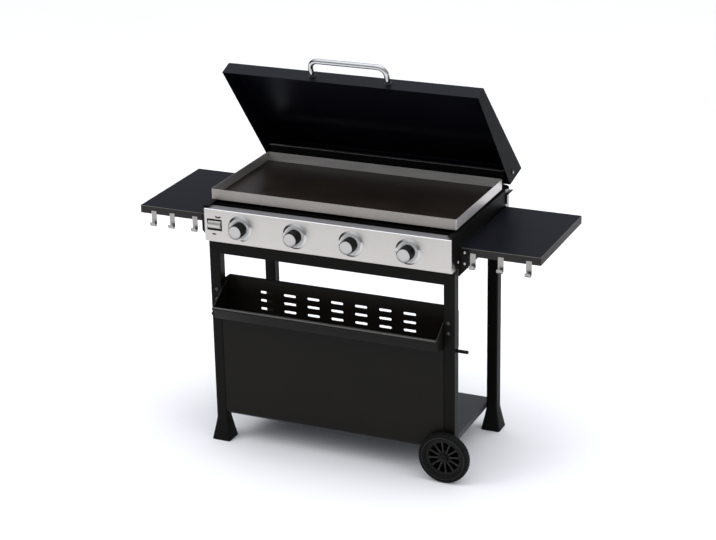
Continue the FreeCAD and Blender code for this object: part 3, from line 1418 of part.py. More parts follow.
def flange_screw(label, side, depth):
    """A short screw through a bracket's flange into the fire box side, its head outside."""
    body = new_body(label)
    seat = "box_half_width+bracket_sheet"
    near, far = mirrored_span(side, "box_half_width-box_sheet-screw_tip", seat)
    post(body, "YZ", near, far, depth, "flange_screw_level", "frame_bolt_radius")
    near, far = mirrored_span(side, seat, seat + "+bolt_head_rise")
    crown = post(body, "YZ", near, far, depth, "flange_screw_level", "shelf_bolt_head")
    doc.recompute()
    reach = max(abs(vertex.Point.x) for vertex in crown.Shape.Vertexes)
    rims = ["Edge%d" % (number + 1) for number, edge in enumerate(crown.Shape.Edges)
            if isinstance(edge.Curve, Part.Circle) and abs(abs(edge.CenterOfMass.x) - reach) < 0.01]
    round_edges(body, crown, rims, "bolt_head_round")
    return body


finished(side_shelf("side_shelf_left", LEFT))
finished(side_shelf("side_shelf_right", RIGHT))
brackets = []
shelf_bolts = []
for side, side_name in ((LEFT, "left"), (RIGHT, "right")):
    brackets.append(shelf_bracket("bracket_front_" + side_name, side, "side_front-bracket_sheet",
                                  "side_front-bracket_flange", "flange_screw_front"))
    brackets.append(shelf_bracket("bracket_rear_" + side_name, side, "side_back",
                                  "side_back+bracket_sheet-bracket_rear_flange", "flange_screw_rear"))
    for level in ("upper", "lower"):
        shelf_bolts.append(bolt_along_depth(
            "shelf_bolt_front_%s_%s" % (level, side_name), side + "side_bolt_offset", "side_bolt_" + level,
            "side_front-bracket_sheet", "side_front+side_sheet+bolt_head_rise",
            "frame_bolt_radius", "shelf_bolt_head"))
        shelf_bolts.append(bolt_along_depth(
            "shelf_bolt_rear_%s_%s" % (level, side_name), side + "side_bolt_offset", "side_bolt_" + level,
            "side_back-side_sheet", "side_back+bracket_sheet+bolt_head_rise",
            "frame_bolt_radius", "shelf_bolt_head"))
    for end in ("front", "rear"):
        shelf_bolts.append(flange_screw("flange_screw_%s_%s" % (end, side_name), side, "flange_screw_" + end))
finished(group("shelf_brackets", brackets))
finished(group("shelf_bolts", shelf_bolts))


# Utensil hooks: flat straps on the front of the shelves, curled forwards and up.
def hook(label, across):
    body = new_body(label)
    sketch = new_sketch(body, "YZ", across + "-hook_width/2")
    strap = "side_front-hook_sheet"
    draw_rectangle(sketch, strap, "side_front", "hook_bottom", "hook_top")
    pad(body, sketch, "hook_width")
    curl = new_sketch(body, "YZ", across + "-hook_width/2")
    middle = "(%s-hook_curl)" % strap
    outer = value("hook_curl+hook_sheet")
    inner = value("hook_curl")
    centre = FreeCAD.Vector(value(middle), value("hook_bottom"), 0)
    normal = FreeCAD.Vector(0, 0, 1)
    across_out = FreeCAD.Vector(outer, 0, 0)
    across_in = FreeCAD.Vector(inner, 0, 0)
    curl.addGeometry(Part.ArcOfCircle(Part.Circle(centre, normal, outer), math.pi, 2 * math.pi), False)
    curl.addGeometry(Part.LineSegment(centre + across_out, centre + across_in), False)
    curl.addGeometry(Part.ArcOfCircle(Part.Circle(centre, normal, inner), math.pi, 2 * math.pi), False)
    curl.addGeometry(Part.LineSegment(centre - across_in, centre - across_out), False)
    for here, end, there, start in ((0, 2, 1, 1), (1, 2, 2, 2), (2, 1, 3, 1), (3, 2, 0, 1)):
        curl.addConstraint(Sketcher.Constraint("Coincident", here, end, there, start))
    pin_point(curl, 0, 3, middle, "hook_bottom")
    curl.addConstraint(Sketcher.Constraint("Coincident", 2, 3, 0, 3))
    curl.addConstraint(Sketcher.Constraint("Horizontal", 1))
    curl.addConstraint(Sketcher.Constraint("Horizontal", 3))
    for element, radius in ((0, "hook_curl+hook_sheet"), (2, "hook_curl")):
        index = curl.addConstraint(Sketcher.Constraint("Radius", element, value(radius)))
        curl.setExpression("Constraints[%d]" % index, bound(radius))
    pad(body, curl, "hook_width")
    tip = new_sketch(body, "YZ", across + "-hook_width/2")
    tip_front = "%s-hook_curl-hook_sheet" % middle
    tip_back = "%s-hook_curl" % middle
    draw_rectangle(tip, tip_front, tip_back, "hook_bottom", "hook_bottom+hook_tip")
    pad(body, tip, "hook_width")
    return body


right_hooks = [hook("hook_right_%d" % number, "(hook_place_%d)" % number) for number in (1, 2, 3)]
left_hooks = [hook("hook_left_%d" % number, "(-hook_place_%d)" % number) for number in (4, 5, 6)]
finished(group("hooks_left", left_hooks))
finished(group("hooks_right", right_hooks))

doc.recompute()
for item in doc.Objects:
    if any(word in state for state in item.State for word in ("Invalid", "Error")):
        raise RuntimeError("%s did not compute" % item.Label)
for item in sub_parts:
    if item.Shape.isNull() or not item.Shape.isValid():
        raise RuntimeError("%s has no sound shape" % item.Label)
os.makedirs("parts", exist_ok=True)
for item in sub_parts:
    item.Shape.exportStep("parts/%s.step" % item.Label)
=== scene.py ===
# Outdoor gas griddle station: camera and light first, then the pieces in the order in which
# the station is put together, from the cart up to the lid, the side shelves and the hooks.
import json
import math

import bmesh
import bpy
import numpy as np
from mathutils import Matrix, Vector

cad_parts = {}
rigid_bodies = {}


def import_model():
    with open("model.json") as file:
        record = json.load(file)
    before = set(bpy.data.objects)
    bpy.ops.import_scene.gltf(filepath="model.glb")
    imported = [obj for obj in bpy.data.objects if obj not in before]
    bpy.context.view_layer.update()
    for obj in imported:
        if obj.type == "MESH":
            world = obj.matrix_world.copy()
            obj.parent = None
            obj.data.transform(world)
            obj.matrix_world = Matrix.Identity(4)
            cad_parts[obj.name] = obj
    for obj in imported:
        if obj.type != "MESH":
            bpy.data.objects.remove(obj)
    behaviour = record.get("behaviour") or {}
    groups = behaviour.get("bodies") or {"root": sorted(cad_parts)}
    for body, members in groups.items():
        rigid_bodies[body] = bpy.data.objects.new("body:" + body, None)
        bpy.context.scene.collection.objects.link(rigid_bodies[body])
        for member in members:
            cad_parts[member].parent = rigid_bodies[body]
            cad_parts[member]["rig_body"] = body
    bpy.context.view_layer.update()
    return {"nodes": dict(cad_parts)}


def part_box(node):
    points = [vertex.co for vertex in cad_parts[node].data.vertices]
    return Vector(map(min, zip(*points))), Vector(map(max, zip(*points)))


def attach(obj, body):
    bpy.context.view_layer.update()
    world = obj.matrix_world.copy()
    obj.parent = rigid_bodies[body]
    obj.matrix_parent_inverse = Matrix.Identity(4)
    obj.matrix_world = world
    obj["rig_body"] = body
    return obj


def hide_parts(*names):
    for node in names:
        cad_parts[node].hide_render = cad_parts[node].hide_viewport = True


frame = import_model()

nodes = frame["nodes"]
scene = bpy.context.scene

# Camera: a long lens a little above the lid, to the right of the station. Its place is counted
# from the front faces of the legs, and its focal length in pixels of a picture 716 wide.
leg_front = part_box("leg_front_left")[0].y
view_turn = math.radians(23.946)
view_rise = math.radians(21.161)
view_roll = math.radians(-1.103)
camera_ahead = 5.6775
camera_across = 2.6311
camera_height = 3.1394
focal_pixels = 1957.68
picture_pixels = 716
sensor = 36.0

back = Vector((math.sin(view_turn) * math.cos(view_rise),
               -math.cos(view_turn) * math.cos(view_rise), math.sin(view_rise)))
level = Vector((math.cos(view_turn), math.sin(view_turn), 0))
above = back.cross(level)
across = math.cos(view_roll) * level + math.sin(view_roll) * above
upward = -math.sin(view_roll) * level + math.cos(view_roll) * above
lens = bpy.data.cameras.new("camera")
lens.sensor_width = sensor
lens.lens = focal_pixels / picture_pixels * sensor
lens.clip_end = 60
camera = bpy.data.objects.new("camera", lens)
camera_place = Matrix.Translation((camera_across, leg_front - camera_ahead, camera_height))
camera.matrix_world = camera_place @ Matrix((across, upward, back)).transposed().to_4x4()
scene.collection.objects.link(camera)
scene.camera = camera


# Floor and light: a matt white studio floor, a sky that is bright overhead and dim at the
# horizon, so that black tops seen at a low angle stay black, and three large soft lamps. Low on
# the left the sky is nearly dark, as a studio's black wall, which draws the edges of the chrome.
# Seen directly, beyond the floor, the sky is an even, nearly pure white.
def linear(code):
    """Linear red, green, blue and alpha of an sRGB hex colour: the lower end of the curve is a
    straight line of slope 1/12.92, and the rest is ((c + 0.055) / 1.055) to the power 2.4."""
    values = np.array([int(code[place:place + 2], 16) for place in (1, 3, 5)]) / 255
    curve = np.where(values <= 0.04045, values / 12.92, ((values + 0.055) / 1.055) ** 2.4)
    return (*curve.tolist(), 1.0)


def add_node(tree, kind, values=None, links=None, **settings):
    """Adds one node: settings are its properties, values its input values, links its sources."""
    node = tree.nodes.new(kind)
    for name, setting in settings.items():
        setattr(node, name, setting)
    for name, number in (values or {}).items():
        node.inputs[name].default_value = number
    for name, source in (links or {}).items():
        tree.links.new(source, node.inputs[name])
    return node


def new_material(name, **values):
    """An empty node material with its shader's sockets set; returns material, tree, shader."""
    material = bpy.data.materials.new(name)
    material.use_nodes = True
    tree = material.node_tree
    shader = tree.nodes["Principled BSDF"]
    for socket, number in values.items():
        shader.inputs[socket.replace("_", " ")].default_value = number
    return material, tree, shader


def object_place(tree, scale=(1, 1, 1)):
    """Object coordinates in metres, stretched by a scale along each axis."""
    source = add_node(tree, "ShaderNodeTexCoord")
    return add_node(tree, "ShaderNodeMapping", {"Scale": scale}, {"Vector": source.outputs["Object"]})


def noise(tree, place, scale, **values):
    """A noise texture over a place, with its scale in waves a metre and its other inputs."""
    links = {"Vector": place.outputs["Vector"]}
    return add_node(tree, "ShaderNodeTexNoise", {"Scale": scale, **values}, links).outputs["Fac"]


def combine(tree, operation, first, second, **settings):
    """The result of one sum on two values, each a socket or a number."""
    node = add_node(tree, "ShaderNodeMath", operation=operation, **settings)
    for entry, value in zip(node.inputs, (first, second)):
        if isinstance(value, float):
            entry.default_value = value
        else:
            tree.links.new(value, entry)
    return node.outputs["Value"]


def blend(tree, dark, light, by):
    """A colour between two sRGB hex tones, by a socket from 0 to 1."""
    node = add_node(tree, "ShaderNodeMix", {"A": linear(dark), "B": linear(light)}, {"Factor": by},
                    data_type="RGBA")
    return node.outputs["Result"]


def spread(tree, value, low, high, start=0.0, end=1.0):
    """A value between start and end, spread evenly from low to high."""
    limits = {"From Min": start, "From Max": end, "To Min": low, "To Max": high}
    return add_node(tree, "ShaderNodeMapRange", limits, {"Value": value}).outputs["Result"]


def ramp(tree, value, start, end):
    """A smooth rise from 0 to 1 of a value between start and end."""
    return add_node(tree, "ShaderNodeMapRange", {"From Min": start, "From Max": end}, {"Value": value},
                    interpolation_type="SMOOTHSTEP").outputs["Result"]


floor_half = 14.0
floor_mesh = bpy.data.meshes.new("studio_floor")
floor_mesh.from_pydata([(-floor_half, -floor_half, 0), (floor_half, -floor_half, 0),
                        (floor_half, floor_half, 0), (-floor_half, floor_half, 0)], [], [(0, 1, 2, 3)])
floor = bpy.data.objects.new("studio_floor", floor_mesh)
scene.collection.objects.link(floor)
floor_paint, floor_tree, floor_shader = new_material("matt_studio_floor", Roughness=0.9)
floor_tone = noise(floor_tree, object_place(floor_tree), 0.6, Detail=2.0)
floor_colour = blend(floor_tree, "#f1f1f2", "#f7f7f7", floor_tone)
floor_tree.links.new(floor_colour, floor_shader.inputs["Base Color"])
floor_mesh.materials.append(floor_paint)

# The sky's strength rises from the horizon to overhead with a power of the height. The dark wall
# is where the way is far enough to the left and low enough, each between two limits.
horizon_light, zenith_light, sky_power = 0.34, 2.35, 2.6
wall_edge_side, wall_full_side = -0.55, -0.95
wall_edge_height, wall_full_height = 0.62, 0.3
wall_share = 0.08
seen_light = 1.0
world = bpy.data.worlds.new("studio")
world.use_nodes = True
sky = world.node_tree
sky_place = add_node(sky, "ShaderNodeTexCoord")
sky_way = add_node(sky, "ShaderNodeSeparateXYZ", links={"Vector": sky_place.outputs["Generated"]}).outputs
sky_rise = combine(sky, "POWER", sky_way["Z"], sky_power, use_clamp=True)
dark_wall = combine(sky, "MULTIPLY", ramp(sky, sky_way["X"], wall_edge_side, wall_full_side),
                    ramp(sky, sky_way["Z"], wall_edge_height, wall_full_height))
sky_light = combine(sky, "MULTIPLY", spread(sky, sky_rise, horizon_light, zenith_light),
                    spread(sky, dark_wall, 1.0, wall_share))
sky_seen = add_node(sky, "ShaderNodeMix", {"B": seen_light}, data_type="FLOAT")
sky.links.new(add_node(sky, "ShaderNodeLightPath").outputs["Is Camera Ray"], sky_seen.inputs["Factor"])
sky.links.new(sky_light, sky_seen.inputs["A"])
sky.nodes["Background"].inputs["Color"].default_value = linear("#f2f5fc")
sky.links.new(sky_seen.outputs["Result"], sky.nodes["Background"].inputs["Strength"])
scene.world = world
scene.view_settings.view_transform = "Standard"


def soft_lamp(name, place, target, size, power):
    """A square area lamp at a place, turned towards a target. It lights the pieces, but leaves
    no hard square in polished metal, as a lamp behind a wide cloth."""
    lamp = bpy.data.lights.new(name, "AREA")
    lamp.size = size
    lamp.energy = power
    holder = bpy.data.objects.new(name, lamp)
    aim = Vector(target) - Vector(place)
    holder.matrix_world = Matrix.Translation(place) @ aim.to_track_quat("-Z", "Y").to_matrix().to_4x4()
    holder.visible_glossy = False
    scene.collection.objects.link(holder)


soft_lamp("lamp_left", place=(-3.2, -3.0, 3.4), target=(0, 0, 0.8), size=2.6, power=60)
soft_lamp("lamp_right", place=(3.6, -0.8, 2.6), target=(0, 0, 0.7), size=2.2, power=20)
soft_lamp("lamp_above", place=(0.2, 0.6, 4.2), target=(0, 0, 0.9), size=3.0, power=45)


def dress(tree, shader, colour, roughness, height, strength, depth):
    """Links a colour and a roughness to a shader, and bumps of a depth in millimetres."""
    bump = add_node(tree, "ShaderNodeBump", {"Strength": strength, "Distance": depth / 1000},
                    {"Height": height})
    tree.links.new(colour, shader.inputs["Base Color"])
    tree.links.new(roughness, shader.inputs["Roughness"])
    tree.links.new(bump.outputs["Normal"], shader.inputs["Normal"])


def grained_finish(name, dark, light, roughness, grain_mm, depth, specular, cloud_mm=140):
    """A painted or moulded surface: two close tones in soft clouds, which also vary the gloss,
    under a grain of small bumps. Its gloss is given by the shader's own specular level."""
    material, tree, shader = new_material(name, Specular_IOR_Level=specular)
    place = object_place(tree)
    clouds = noise(tree, place, 1000 / cloud_mm, Detail=5.0, Roughness=0.6)
    grain = noise(tree, place, 1000 / grain_mm, Detail=2.0)
    dress(tree, shader, blend(tree, dark, light, clouds),
          spread(tree, clouds, roughness - 0.07, roughness + 0.09), grain, 0.4, depth)
    return material


def shade(mesh, crease):
    """Smooth shading with sharp lines where two faces meet at more than the crease angle."""
    mesh.shade_smooth()
    mesh.set_sharp_from_angle(angle=math.radians(crease))


def finished(name, material, edge=0.0, crease=32):
    """A copy of a CAD node with its loose triangles merged and its flats joined, so that its
    rounds shade smooth and its edges can be broken by a small bevel, given in millimetres. It
    stands for the node and rides where the node rides."""
    source = nodes[name]
    mesh = source.data.copy()
    form = bmesh.new()
    form.from_mesh(mesh)
    bmesh.ops.remove_doubles(form, verts=form.verts, dist=1e-6)
    bmesh.ops.dissolve_limit(form, angle_limit=0.001, verts=form.verts, edges=form.edges)
    form.to_mesh(mesh)
    form.free()
    shade(mesh, crease)
    mesh.materials.clear()
    mesh.materials.append(material)
    piece = bpy.data.objects.new(name + "_finished", mesh)
    scene.collection.objects.link(piece)
    if edge:
        bevel = piece.modifiers.new("broken_edges", "BEVEL")
        bevel.width = edge / 1000
        bevel.segments = 2
        bevel.limit_method = "ANGLE"
        bevel.angle_limit = math.radians(crease)
        bevel.harden_normals = True
    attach(piece, source["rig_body"])
    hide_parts(name)
    return piece


# Polyester powder coat on tube: near black, a trace warm, with a peel of about 1.5 mm.
frame_coat = grained_finish("black_powder_coat", "#0b0a08", "#12110e", roughness=0.46, grain_mm=1.5,
                            depth=0.15, specular=0.08)
for tube in ("leg_front_left", "leg_front_right", "leg_rear_left", "leg_rear_right"):
    finished(tube, frame_coat, edge=0.5)
for channel in ("rear_rail", "side_rails"):
    finished(channel, frame_coat, edge=0.4)
front_channel = finished("front_rail", frame_coat, edge=0.4)
# The ends of the front channel are dressed outwards, up to the rounded legs.
dressed_mm, dressed_from_mm = 2.6, 420
channel_points = np.empty(len(front_channel.data.vertices) * 3)
front_channel.data.vertices.foreach_get("co", channel_points)
channel_sides = channel_points[::3]
at_ends = np.abs(channel_sides) > dressed_from_mm / 1000
channel_sides += dressed_mm / 1000 * np.sign(channel_sides) * at_ends
front_channel.data.vertices.foreach_set("co", channel_points)


# Feet: three moulded polypropylene boots whose spigots plug into the open tube ends. Each spreads
# from the tube to a square base in flat, barely hollow sides.
def at(across_mm, depth_mm, height_mm):
    """Metres in the frame from millimetres across from the middle, behind the front faces of
    the legs and above the floor."""
    return np.array([across_mm / 1000, leg_front + depth_mm / 1000, height_mm / 1000])


def surface(name, body, grids, finishes, replaced=(), crease=35):
    """One piece from grids of points, rows x ring x 3 in metres, each with the number of its
    finish. A face joins points j and j + 1 of one ring to the same points of the next ring, and
    each ring is closed. Equal points are merged, so that a ring drawn to one point is a closed
    pole. The attribute out is a point's distance from the middle of its ring."""
    points, spans, faces, kinds, count = [], [], [], [], 0
    for grid, kind in grids:
        rows, ring = grid.shape[:2]
        index = count + np.arange(rows * ring).reshape(rows, ring)
        near, far = index[:-1], index[1:]
        quads = np.stack([near, np.roll(near, -1, 1), np.roll(far, -1, 1), far], axis=-1).reshape(-1, 4)
        points.append(grid.reshape(-1, 3))
        spans.append(np.linalg.norm(grid - grid.mean(axis=1, keepdims=True), axis=2).ravel())
        faces.append(quads)
        kinds.append(np.full(len(quads), kind))
        count += rows * ring
    mesh = bpy.data.meshes.new(name)
    mesh.from_pydata(np.concatenate(points).tolist(), [], np.concatenate(faces).tolist())
    for finish in finishes:
        mesh.materials.append(finish)
    mesh.polygons.foreach_set("material_index", np.concatenate(kinds).astype(np.int32))
    mesh.attributes.new("out", "FLOAT", "POINT").data.foreach_set("value", np.concatenate(spans))
    form = bmesh.new()
    form.from_mesh(mesh)
    bmesh.ops.remove_doubles(form, verts=form.verts, dist=1e-6)
    bmesh.ops.recalc_face_normals(form, faces=form.faces)
    form.to_mesh(mesh)
    form.free()
    shade(mesh, crease)
    piece = bpy.data.objects.new(name, mesh)
    scene.collection.objects.link(piece)
    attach(piece, body)
    if replaced:
        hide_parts(*replaced)
    return piece


def square_rings(rows, centre):
    """Rounded squares stacked upwards. Each row gives a half side h, a corner radius r and a
    height in millimetres, and its ring has the points
    centre + (sx (h - r) + r cos a, sy (h - r) + r sin a), where sx and sy are the signs of the
    quarter that angle a is in."""
    half, radius, rise = (np.asarray(rows, float) / 1000).T[:, :, None]
    quarter = np.repeat(np.arange(4), 7)
    turn = np.pi / 2 * (quarter + np.tile(np.linspace(0, 1, 7), 4))
    side_x = np.array([1, -1, -1, 1])[quarter]
    side_y = np.array([1, 1, -1, -1])[quarter]
    return np.stack([centre[0] + side_x * (half - radius) + radius * np.cos(turn),
                     centre[1] + side_y * (half - radius) + radius * np.sin(turn),
                     centre[2] + rise + 0 * turn], axis=-1)


# Half sides, corner radii and heights of the boot and of the spigot above it. Its side follows
# waist + (base - waist) (1 - t)^1.08 up the flare, and the corners sharpen with it.
boot_base, boot_waist, boot_foot, boot_flare, boot_top = 35.5, 20.0, 2.0, 86.0, 100.0
boot_hollow = 1.08
base_corner, waist_corner = 6.5, 4.0
spigot_half, spigot_top, spigot_corner = 18.1, 128.0, 2.6
pole = (0.01, 0.005)
climb = np.linspace(0, 1, 18)
taper = (1 - climb) ** boot_hollow
boot_rows = np.vstack([
    [(*pole, 0), (boot_base - 1.2, 5.5, 0), (boot_base - 0.3, 6.2, 0.4), (boot_base, base_corner, 1.2)],
    np.column_stack([boot_waist + (boot_base - boot_waist) * taper,
                     waist_corner + (base_corner - waist_corner) * taper,
                     boot_foot + (boot_flare - boot_foot) * climb]),
    [(boot_waist, waist_corner, boot_top - 0.6), (boot_waist - 0.6, 3.6, boot_top),
     (spigot_half, spigot_corner, boot_top), (spigot_half, spigot_corner, spigot_top - 1.5),
     (spigot_half - 1.5, 2, spigot_top), (*pole, spigot_top)]])
boot_places = ((-441, 20), (-441, 449), (441, 449))
# Moulded polypropylene: black, a fine spark-eroded grain and a little less gloss than the coat.
boot_plastic = grained_finish("moulded_boot_plastic", "#0a0a09", "#10100f", roughness=0.5, grain_mm=1.1,
                              depth=0.12, specular=0.09)
surface("foot_boots", "station",
        [(square_rings(boot_rows, at(side, depth, 0)), 0) for side, depth in boot_places],
        [boot_plastic], ["flared_feet"])


# Pressed sheets of the cart: the pan between the front legs, the bottom shelf, the folded trough
# with its rolled lip and the slotted panel behind it, all of 1.2 mm steel sheet, powder coated
# after pressing, so the coat runs round every edge.
def toned_where(material, code, mask):
    """Lays another tone over a material's colour where a mask, a socket from 0 to 1, says so."""
    tree = material.node_tree
    colour = tree.nodes["Principled BSDF"].inputs["Base Color"]
    under = colour.links[0].from_socket
    mix = add_node(tree, "ShaderNodeMix", {"B": linear(code)}, {"A": under, "Factor": mask}, data_type="RGBA")
    tree.links.new(mix.outputs["Result"], colour)


def facing(tree, axis):
    """The part of the surface's normal along an object axis, X, Y or Z."""
    source = add_node(tree, "ShaderNodeTexCoord")
    return add_node(tree, "ShaderNodeSeparateXYZ", links={"Vector": source.outputs["Normal"]}).outputs[axis]


# Powder coat on sheet: near black and a trace warm, with the same peel as on the tubes.
sheet_coat = grained_finish("black_coated_sheet", "#0e0c09", "#171410", roughness=0.42, grain_mm=1.5,
                            depth=0.15, specular=0.12, cloud_mm=180)
for sheet in ("lower_front_panel", "slotted_panel"):
    finished(sheet, sheet_coat, edge=0.35)
# The bottom shelf has a greyer and glossier copy of the coat. On the trough the faces turned upwards, its
# rolled lip and the upper edges of its ends, are painted a lighter grey: painted light from above.
shelf_grey_coat = grained_finish("grey_glossier_coated_sheet", "#27272b", "#3c3c42", roughness=0.46, grain_mm=1.5,
                            depth=0.15, specular=0.34, cloud_mm=160)
finished("bottom_shelf", shelf_grey_coat, edge=0.35)
coat_painted_top_light = grained_finish("coated_sheet_painted_top_light", "#0e0c0a", "#161410", roughness=0.42, grain_mm=1.5,
                             depth=0.15, specular=0.12, cloud_mm=180)
top_light_tree = coat_painted_top_light.node_tree
# Faces turned upwards are painted a lighter grey: painted light from above on the lip and the upper edges.
toned_where(coat_painted_top_light, "#5d5c5a", ramp(top_light_tree, facing(top_light_tree, "Z"), 0.35, 0.8))
finished("storage_trough", coat_painted_top_light, edge=0.5)


# Cross rod: a solid steel bar with rounded ends, pushed through both front legs under the trough.
def rounded(corners, radius, steps=5):
    """A profile with its inner corners rounded: corner P gives way to the curve
    (1 - t)^2 A + 2 t (1 - t) P + t^2 B, where A and B lie a radius from P on its two runs."""
    corners = np.asarray(corners, float)
    runs = np.diff(corners, axis=0)
    lengths = np.linalg.norm(runs, axis=1)[:, None]
    reach = np.minimum(radius, 0.48 * np.minimum(lengths[:-1], lengths[1:]))
    before = corners[1:-1] - runs[:-1] / lengths[:-1] * reach
    after = corners[1:-1] + runs[1:] / lengths[1:] * reach
    t = np.linspace(0, 1, steps)[None, :, None]
    arcs = (1 - t) ** 2 * before[:, None] + 2 * t * (1 - t) * corners[1:-1, None] + t ** 2 * after[:, None]
    return np.vstack([corners[:1], arcs.reshape(-1, 2), corners[-1:]])


def turned(profile, centre, axis=(0, -1, 0), steps=48, shape=1.0):
    """A profile of out and along rows in millimetres, turned about an axis through a centre:
    point = centre + along x axis + out x shape x (cos a x side + sin a x rise). Shape is a
    factor for each row and step, which cuts flats, flutes or treads into the round."""
    axis = np.array(axis, float)
    side = np.array((1.0, 0.0, 0.0) if abs(axis[2]) > 0.5 else (0.0, 0.0, 1.0))
    turn = np.linspace(0, 2 * np.pi, steps, endpoint=False)[:, None]
    ring = np.cos(turn) * side + np.sin(turn) * np.cross(axis, side)
    out = profile[:, :1] / 1000 * shape * np.ones(steps)
    return np.asarray(centre) + (profile[:, 1] / 1000)[:, None, None] * axis + out[:, :, None] * ring


rod_left, rod_right, rod_radius, rod_edge = -472, 503, 6, 1.5
rod_place = at(0, 20, 482)
rod_profile = rounded([(0, rod_left), (rod_radius, rod_left), (rod_radius, rod_right), (0, rod_right)],
                      rod_edge)
surface("cross_rod_bar", "station",
        [(turned(rod_profile, rod_place, (1, 0, 0), 32), 0)], [frame_coat], ["cross_rod"])


# Frame bolts: four M6 button heads with a hexagon socket, blackened, through the front legs and
# the lips of the slotted panel into plain hexagon nuts.
def hexagon(steps):
    """The factor that draws a round of so many steps in to a hexagon: cos 30 / cos(a - 30), with
    a counted afresh on each sixth of the turn."""
    turn = np.linspace(0, 2 * np.pi, steps, endpoint=False)
    return math.cos(math.pi / 6) / np.cos(np.mod(turn, np.pi / 3) - np.pi / 6)


def bolt(seat, axis, head, rise, shank, grip, nut=0, nut_rise=0, steps=48):
    """A button-head bolt turned from one profile, whose rows give out, along and whether they
    are drawn in to a hexagon, as the socket and the nut are. The head sits on its seat and looks
    along the axis, and a nut is a grip behind it. With no nut, the shank has a plain end."""
    rows = [(0, rise - 1.6, 0), (0.36 * head, rise - 1.6, 1), (0.38 * head, rise, 1), (0.46 * head, rise, 0)]
    dome = np.linspace(0, 1, 7)[1:]
    rows += [(head * (0.46 + 0.54 * step), rise * (1 - 0.72 * step ** 2.4), 0) for step in dome]
    rows += [(head, 0.2, 0), (head - 0.2, 0, 0), (shank, 0, 0)]
    if nut:
        nut_back = -grip - nut_rise
        rows += [(shank, -grip, 0), (nut - 0.4, -grip, 1), (nut, -grip - 0.4, 1),
                 (nut, nut_back + 0.4, 1), (nut - 0.4, nut_back, 1), (0, nut_back, 1)]
    else:
        rows += [(shank, 0.5 - grip, 0), (shank - 0.5, -grip, 0), (0, -grip, 0)]
    rows = np.array(rows, float)
    shape = np.where(rows[:, 2:] > 0, hexagon(steps)[None], 1.0)
    return turned(rows[:, :2], seat, axis, steps, shape), 0


# Black oxide on steel: a dull black with a faint lustre that shows the round of the head.
black_oxide = grained_finish("black_oxide_steel", "#262625", "#373736", roughness=0.34, grain_mm=0.8,
                             depth=0.05, specular=0.6, cloud_mm=20)
frame_bolt_sides, frame_bolt_heights = (-438, 438), (587, 550)
surface("frame_bolt_set", "station",
        [bolt(at(side, 0, height), (0, -1, 0), head=6.5, rise=3.5, shank=3, grip=41.2, nut=5.6, nut_rise=3.5)
         for side in frame_bolt_sides for height in frame_bolt_heights],
        [black_oxide], ["frame_bolts"])


# Wheel: a moulded polypropylene hub with twelve slim spokes before a closed back, in a solid
# rubber tyre, running on a bolt through the short front leg. Both are black and hardly shine.
def band(tree, value, start, full, fall, end):
    """A smooth band of a value: 0 up to start, 1 from full to fall, and 0 again from end."""
    return combine(tree, "MULTIPLY", ramp(tree, value, start, full), ramp(tree, value, end, fall))


wheel_radius = 92.5
wheel_centre = at(430, -20, wheel_radius)
# Three turns of a cosine on the tyre's side leave three grooves between four raised rings. Its
# tread has slanting gaps between blocks and one groove round the middle.
tyre_half_width, side_grooves, ring_height = 15, 3, 0.55
tyre_blocks, tyre_steps, tread_cut = 48, 384, 1.4
gap_share, gap_slope, gap_slant = 0.22, 0.08, 0.05
block_foot, groove_half, tread_start, tread_fade = 3.5, 1.5, 88, 3
wall_out = np.linspace(77.5, 86.5, 31)
wall_turn = (wall_out - wall_out[0]) / np.ptp(wall_out) * side_grooves * 2 * np.pi
wall_along = tyre_half_width - ring_height * (1 - np.cos(wall_turn))
tyre_half = np.vstack([
    rounded([(73, 0), (73, 11), (76, 14.6), (77.2, 14.9)], 1.5),
    np.column_stack([wall_out, wall_along]),
    rounded([(87, 14.8), (90.4, 12.4), (92.1, 9.6), (wheel_radius, 7)], 2.0),
    np.column_stack([np.full(7, wheel_radius), np.linspace(6, 0, 7)])])
tyre_profile = np.vstack([tyre_half, tyre_half[-2::-1] * (1, -1)])
tyre_out, tyre_side = tyre_profile[:, :1], np.abs(tyre_profile[:, 1:])
tread_turn = np.linspace(0, tyre_blocks, tyre_steps, endpoint=False)[None]
tread_phase = np.mod(tread_turn + gap_slant * tyre_side, 1)
tread_gap = np.clip((gap_share - np.abs(tread_phase - 0.5)) / gap_slope, 0, 1) * (tyre_side > block_foot)
tread_gap = np.maximum(tread_gap, tyre_side < groove_half)
tread_depth = tread_cut * np.clip((tyre_out - tread_start) / tread_fade, 0, 1)
tyre_shape = 1 - tread_depth * tread_gap / tyre_out
# Solid rubber: dull black, greyer where it is scuffed, with raised rings on its walls.
tyre_rubber = grained_finish("solid_tyre_rubber", "#0b0b0a", "#131311", roughness=0.58, grain_mm=1.3,
                             depth=0.2, specular=0.12, cloud_mm=30)
# The innermost of the raised rings is painted paler all round: a painted highlight of its crest.
tyre_tree = tyre_rubber.node_tree
from_middle = add_node(tyre_tree, "ShaderNodeAttribute", attribute_name="out").outputs["Fac"]
toned_where(tyre_rubber, "#3d3d39", band(tyre_tree, from_middle, 0.0768, 0.0776, 0.0786, 0.0796))
tyre_grid = turned(tyre_profile, wheel_centre, steps=tyre_steps, shape=tyre_shape)
surface("treaded_tyre", "wheel", [(tyre_grid, 0)], [tyre_rubber], ["tyre"])

spoke_count, spoke_start, spoke_end = 12, 18.0, 58.0
rim_loop = rounded([(73, 0), (73, 12), (70, 12), (66.5, 3.4), (57, 2.6), (56, 1.6), (56, -1.6), (57, -2.6),
                    (66.5, -3.4), (70, -12), (73, -12), (73, 0)], 1.0)
back_loop = rounded([(14, -6), (68.0, -6), (68.6, -8), (14, -8), (14, -6)], 0.3)
hub_loop = rounded([(5.1, 0), (5.1, 15), (14, 15), (15.5, 12.5), (17, 4), (21, 2.8), (21, -2.8), (17, -4),
                    (15.5, -12.5), (14, -15), (5.1, -15), (5.1, 0)], 1.2)
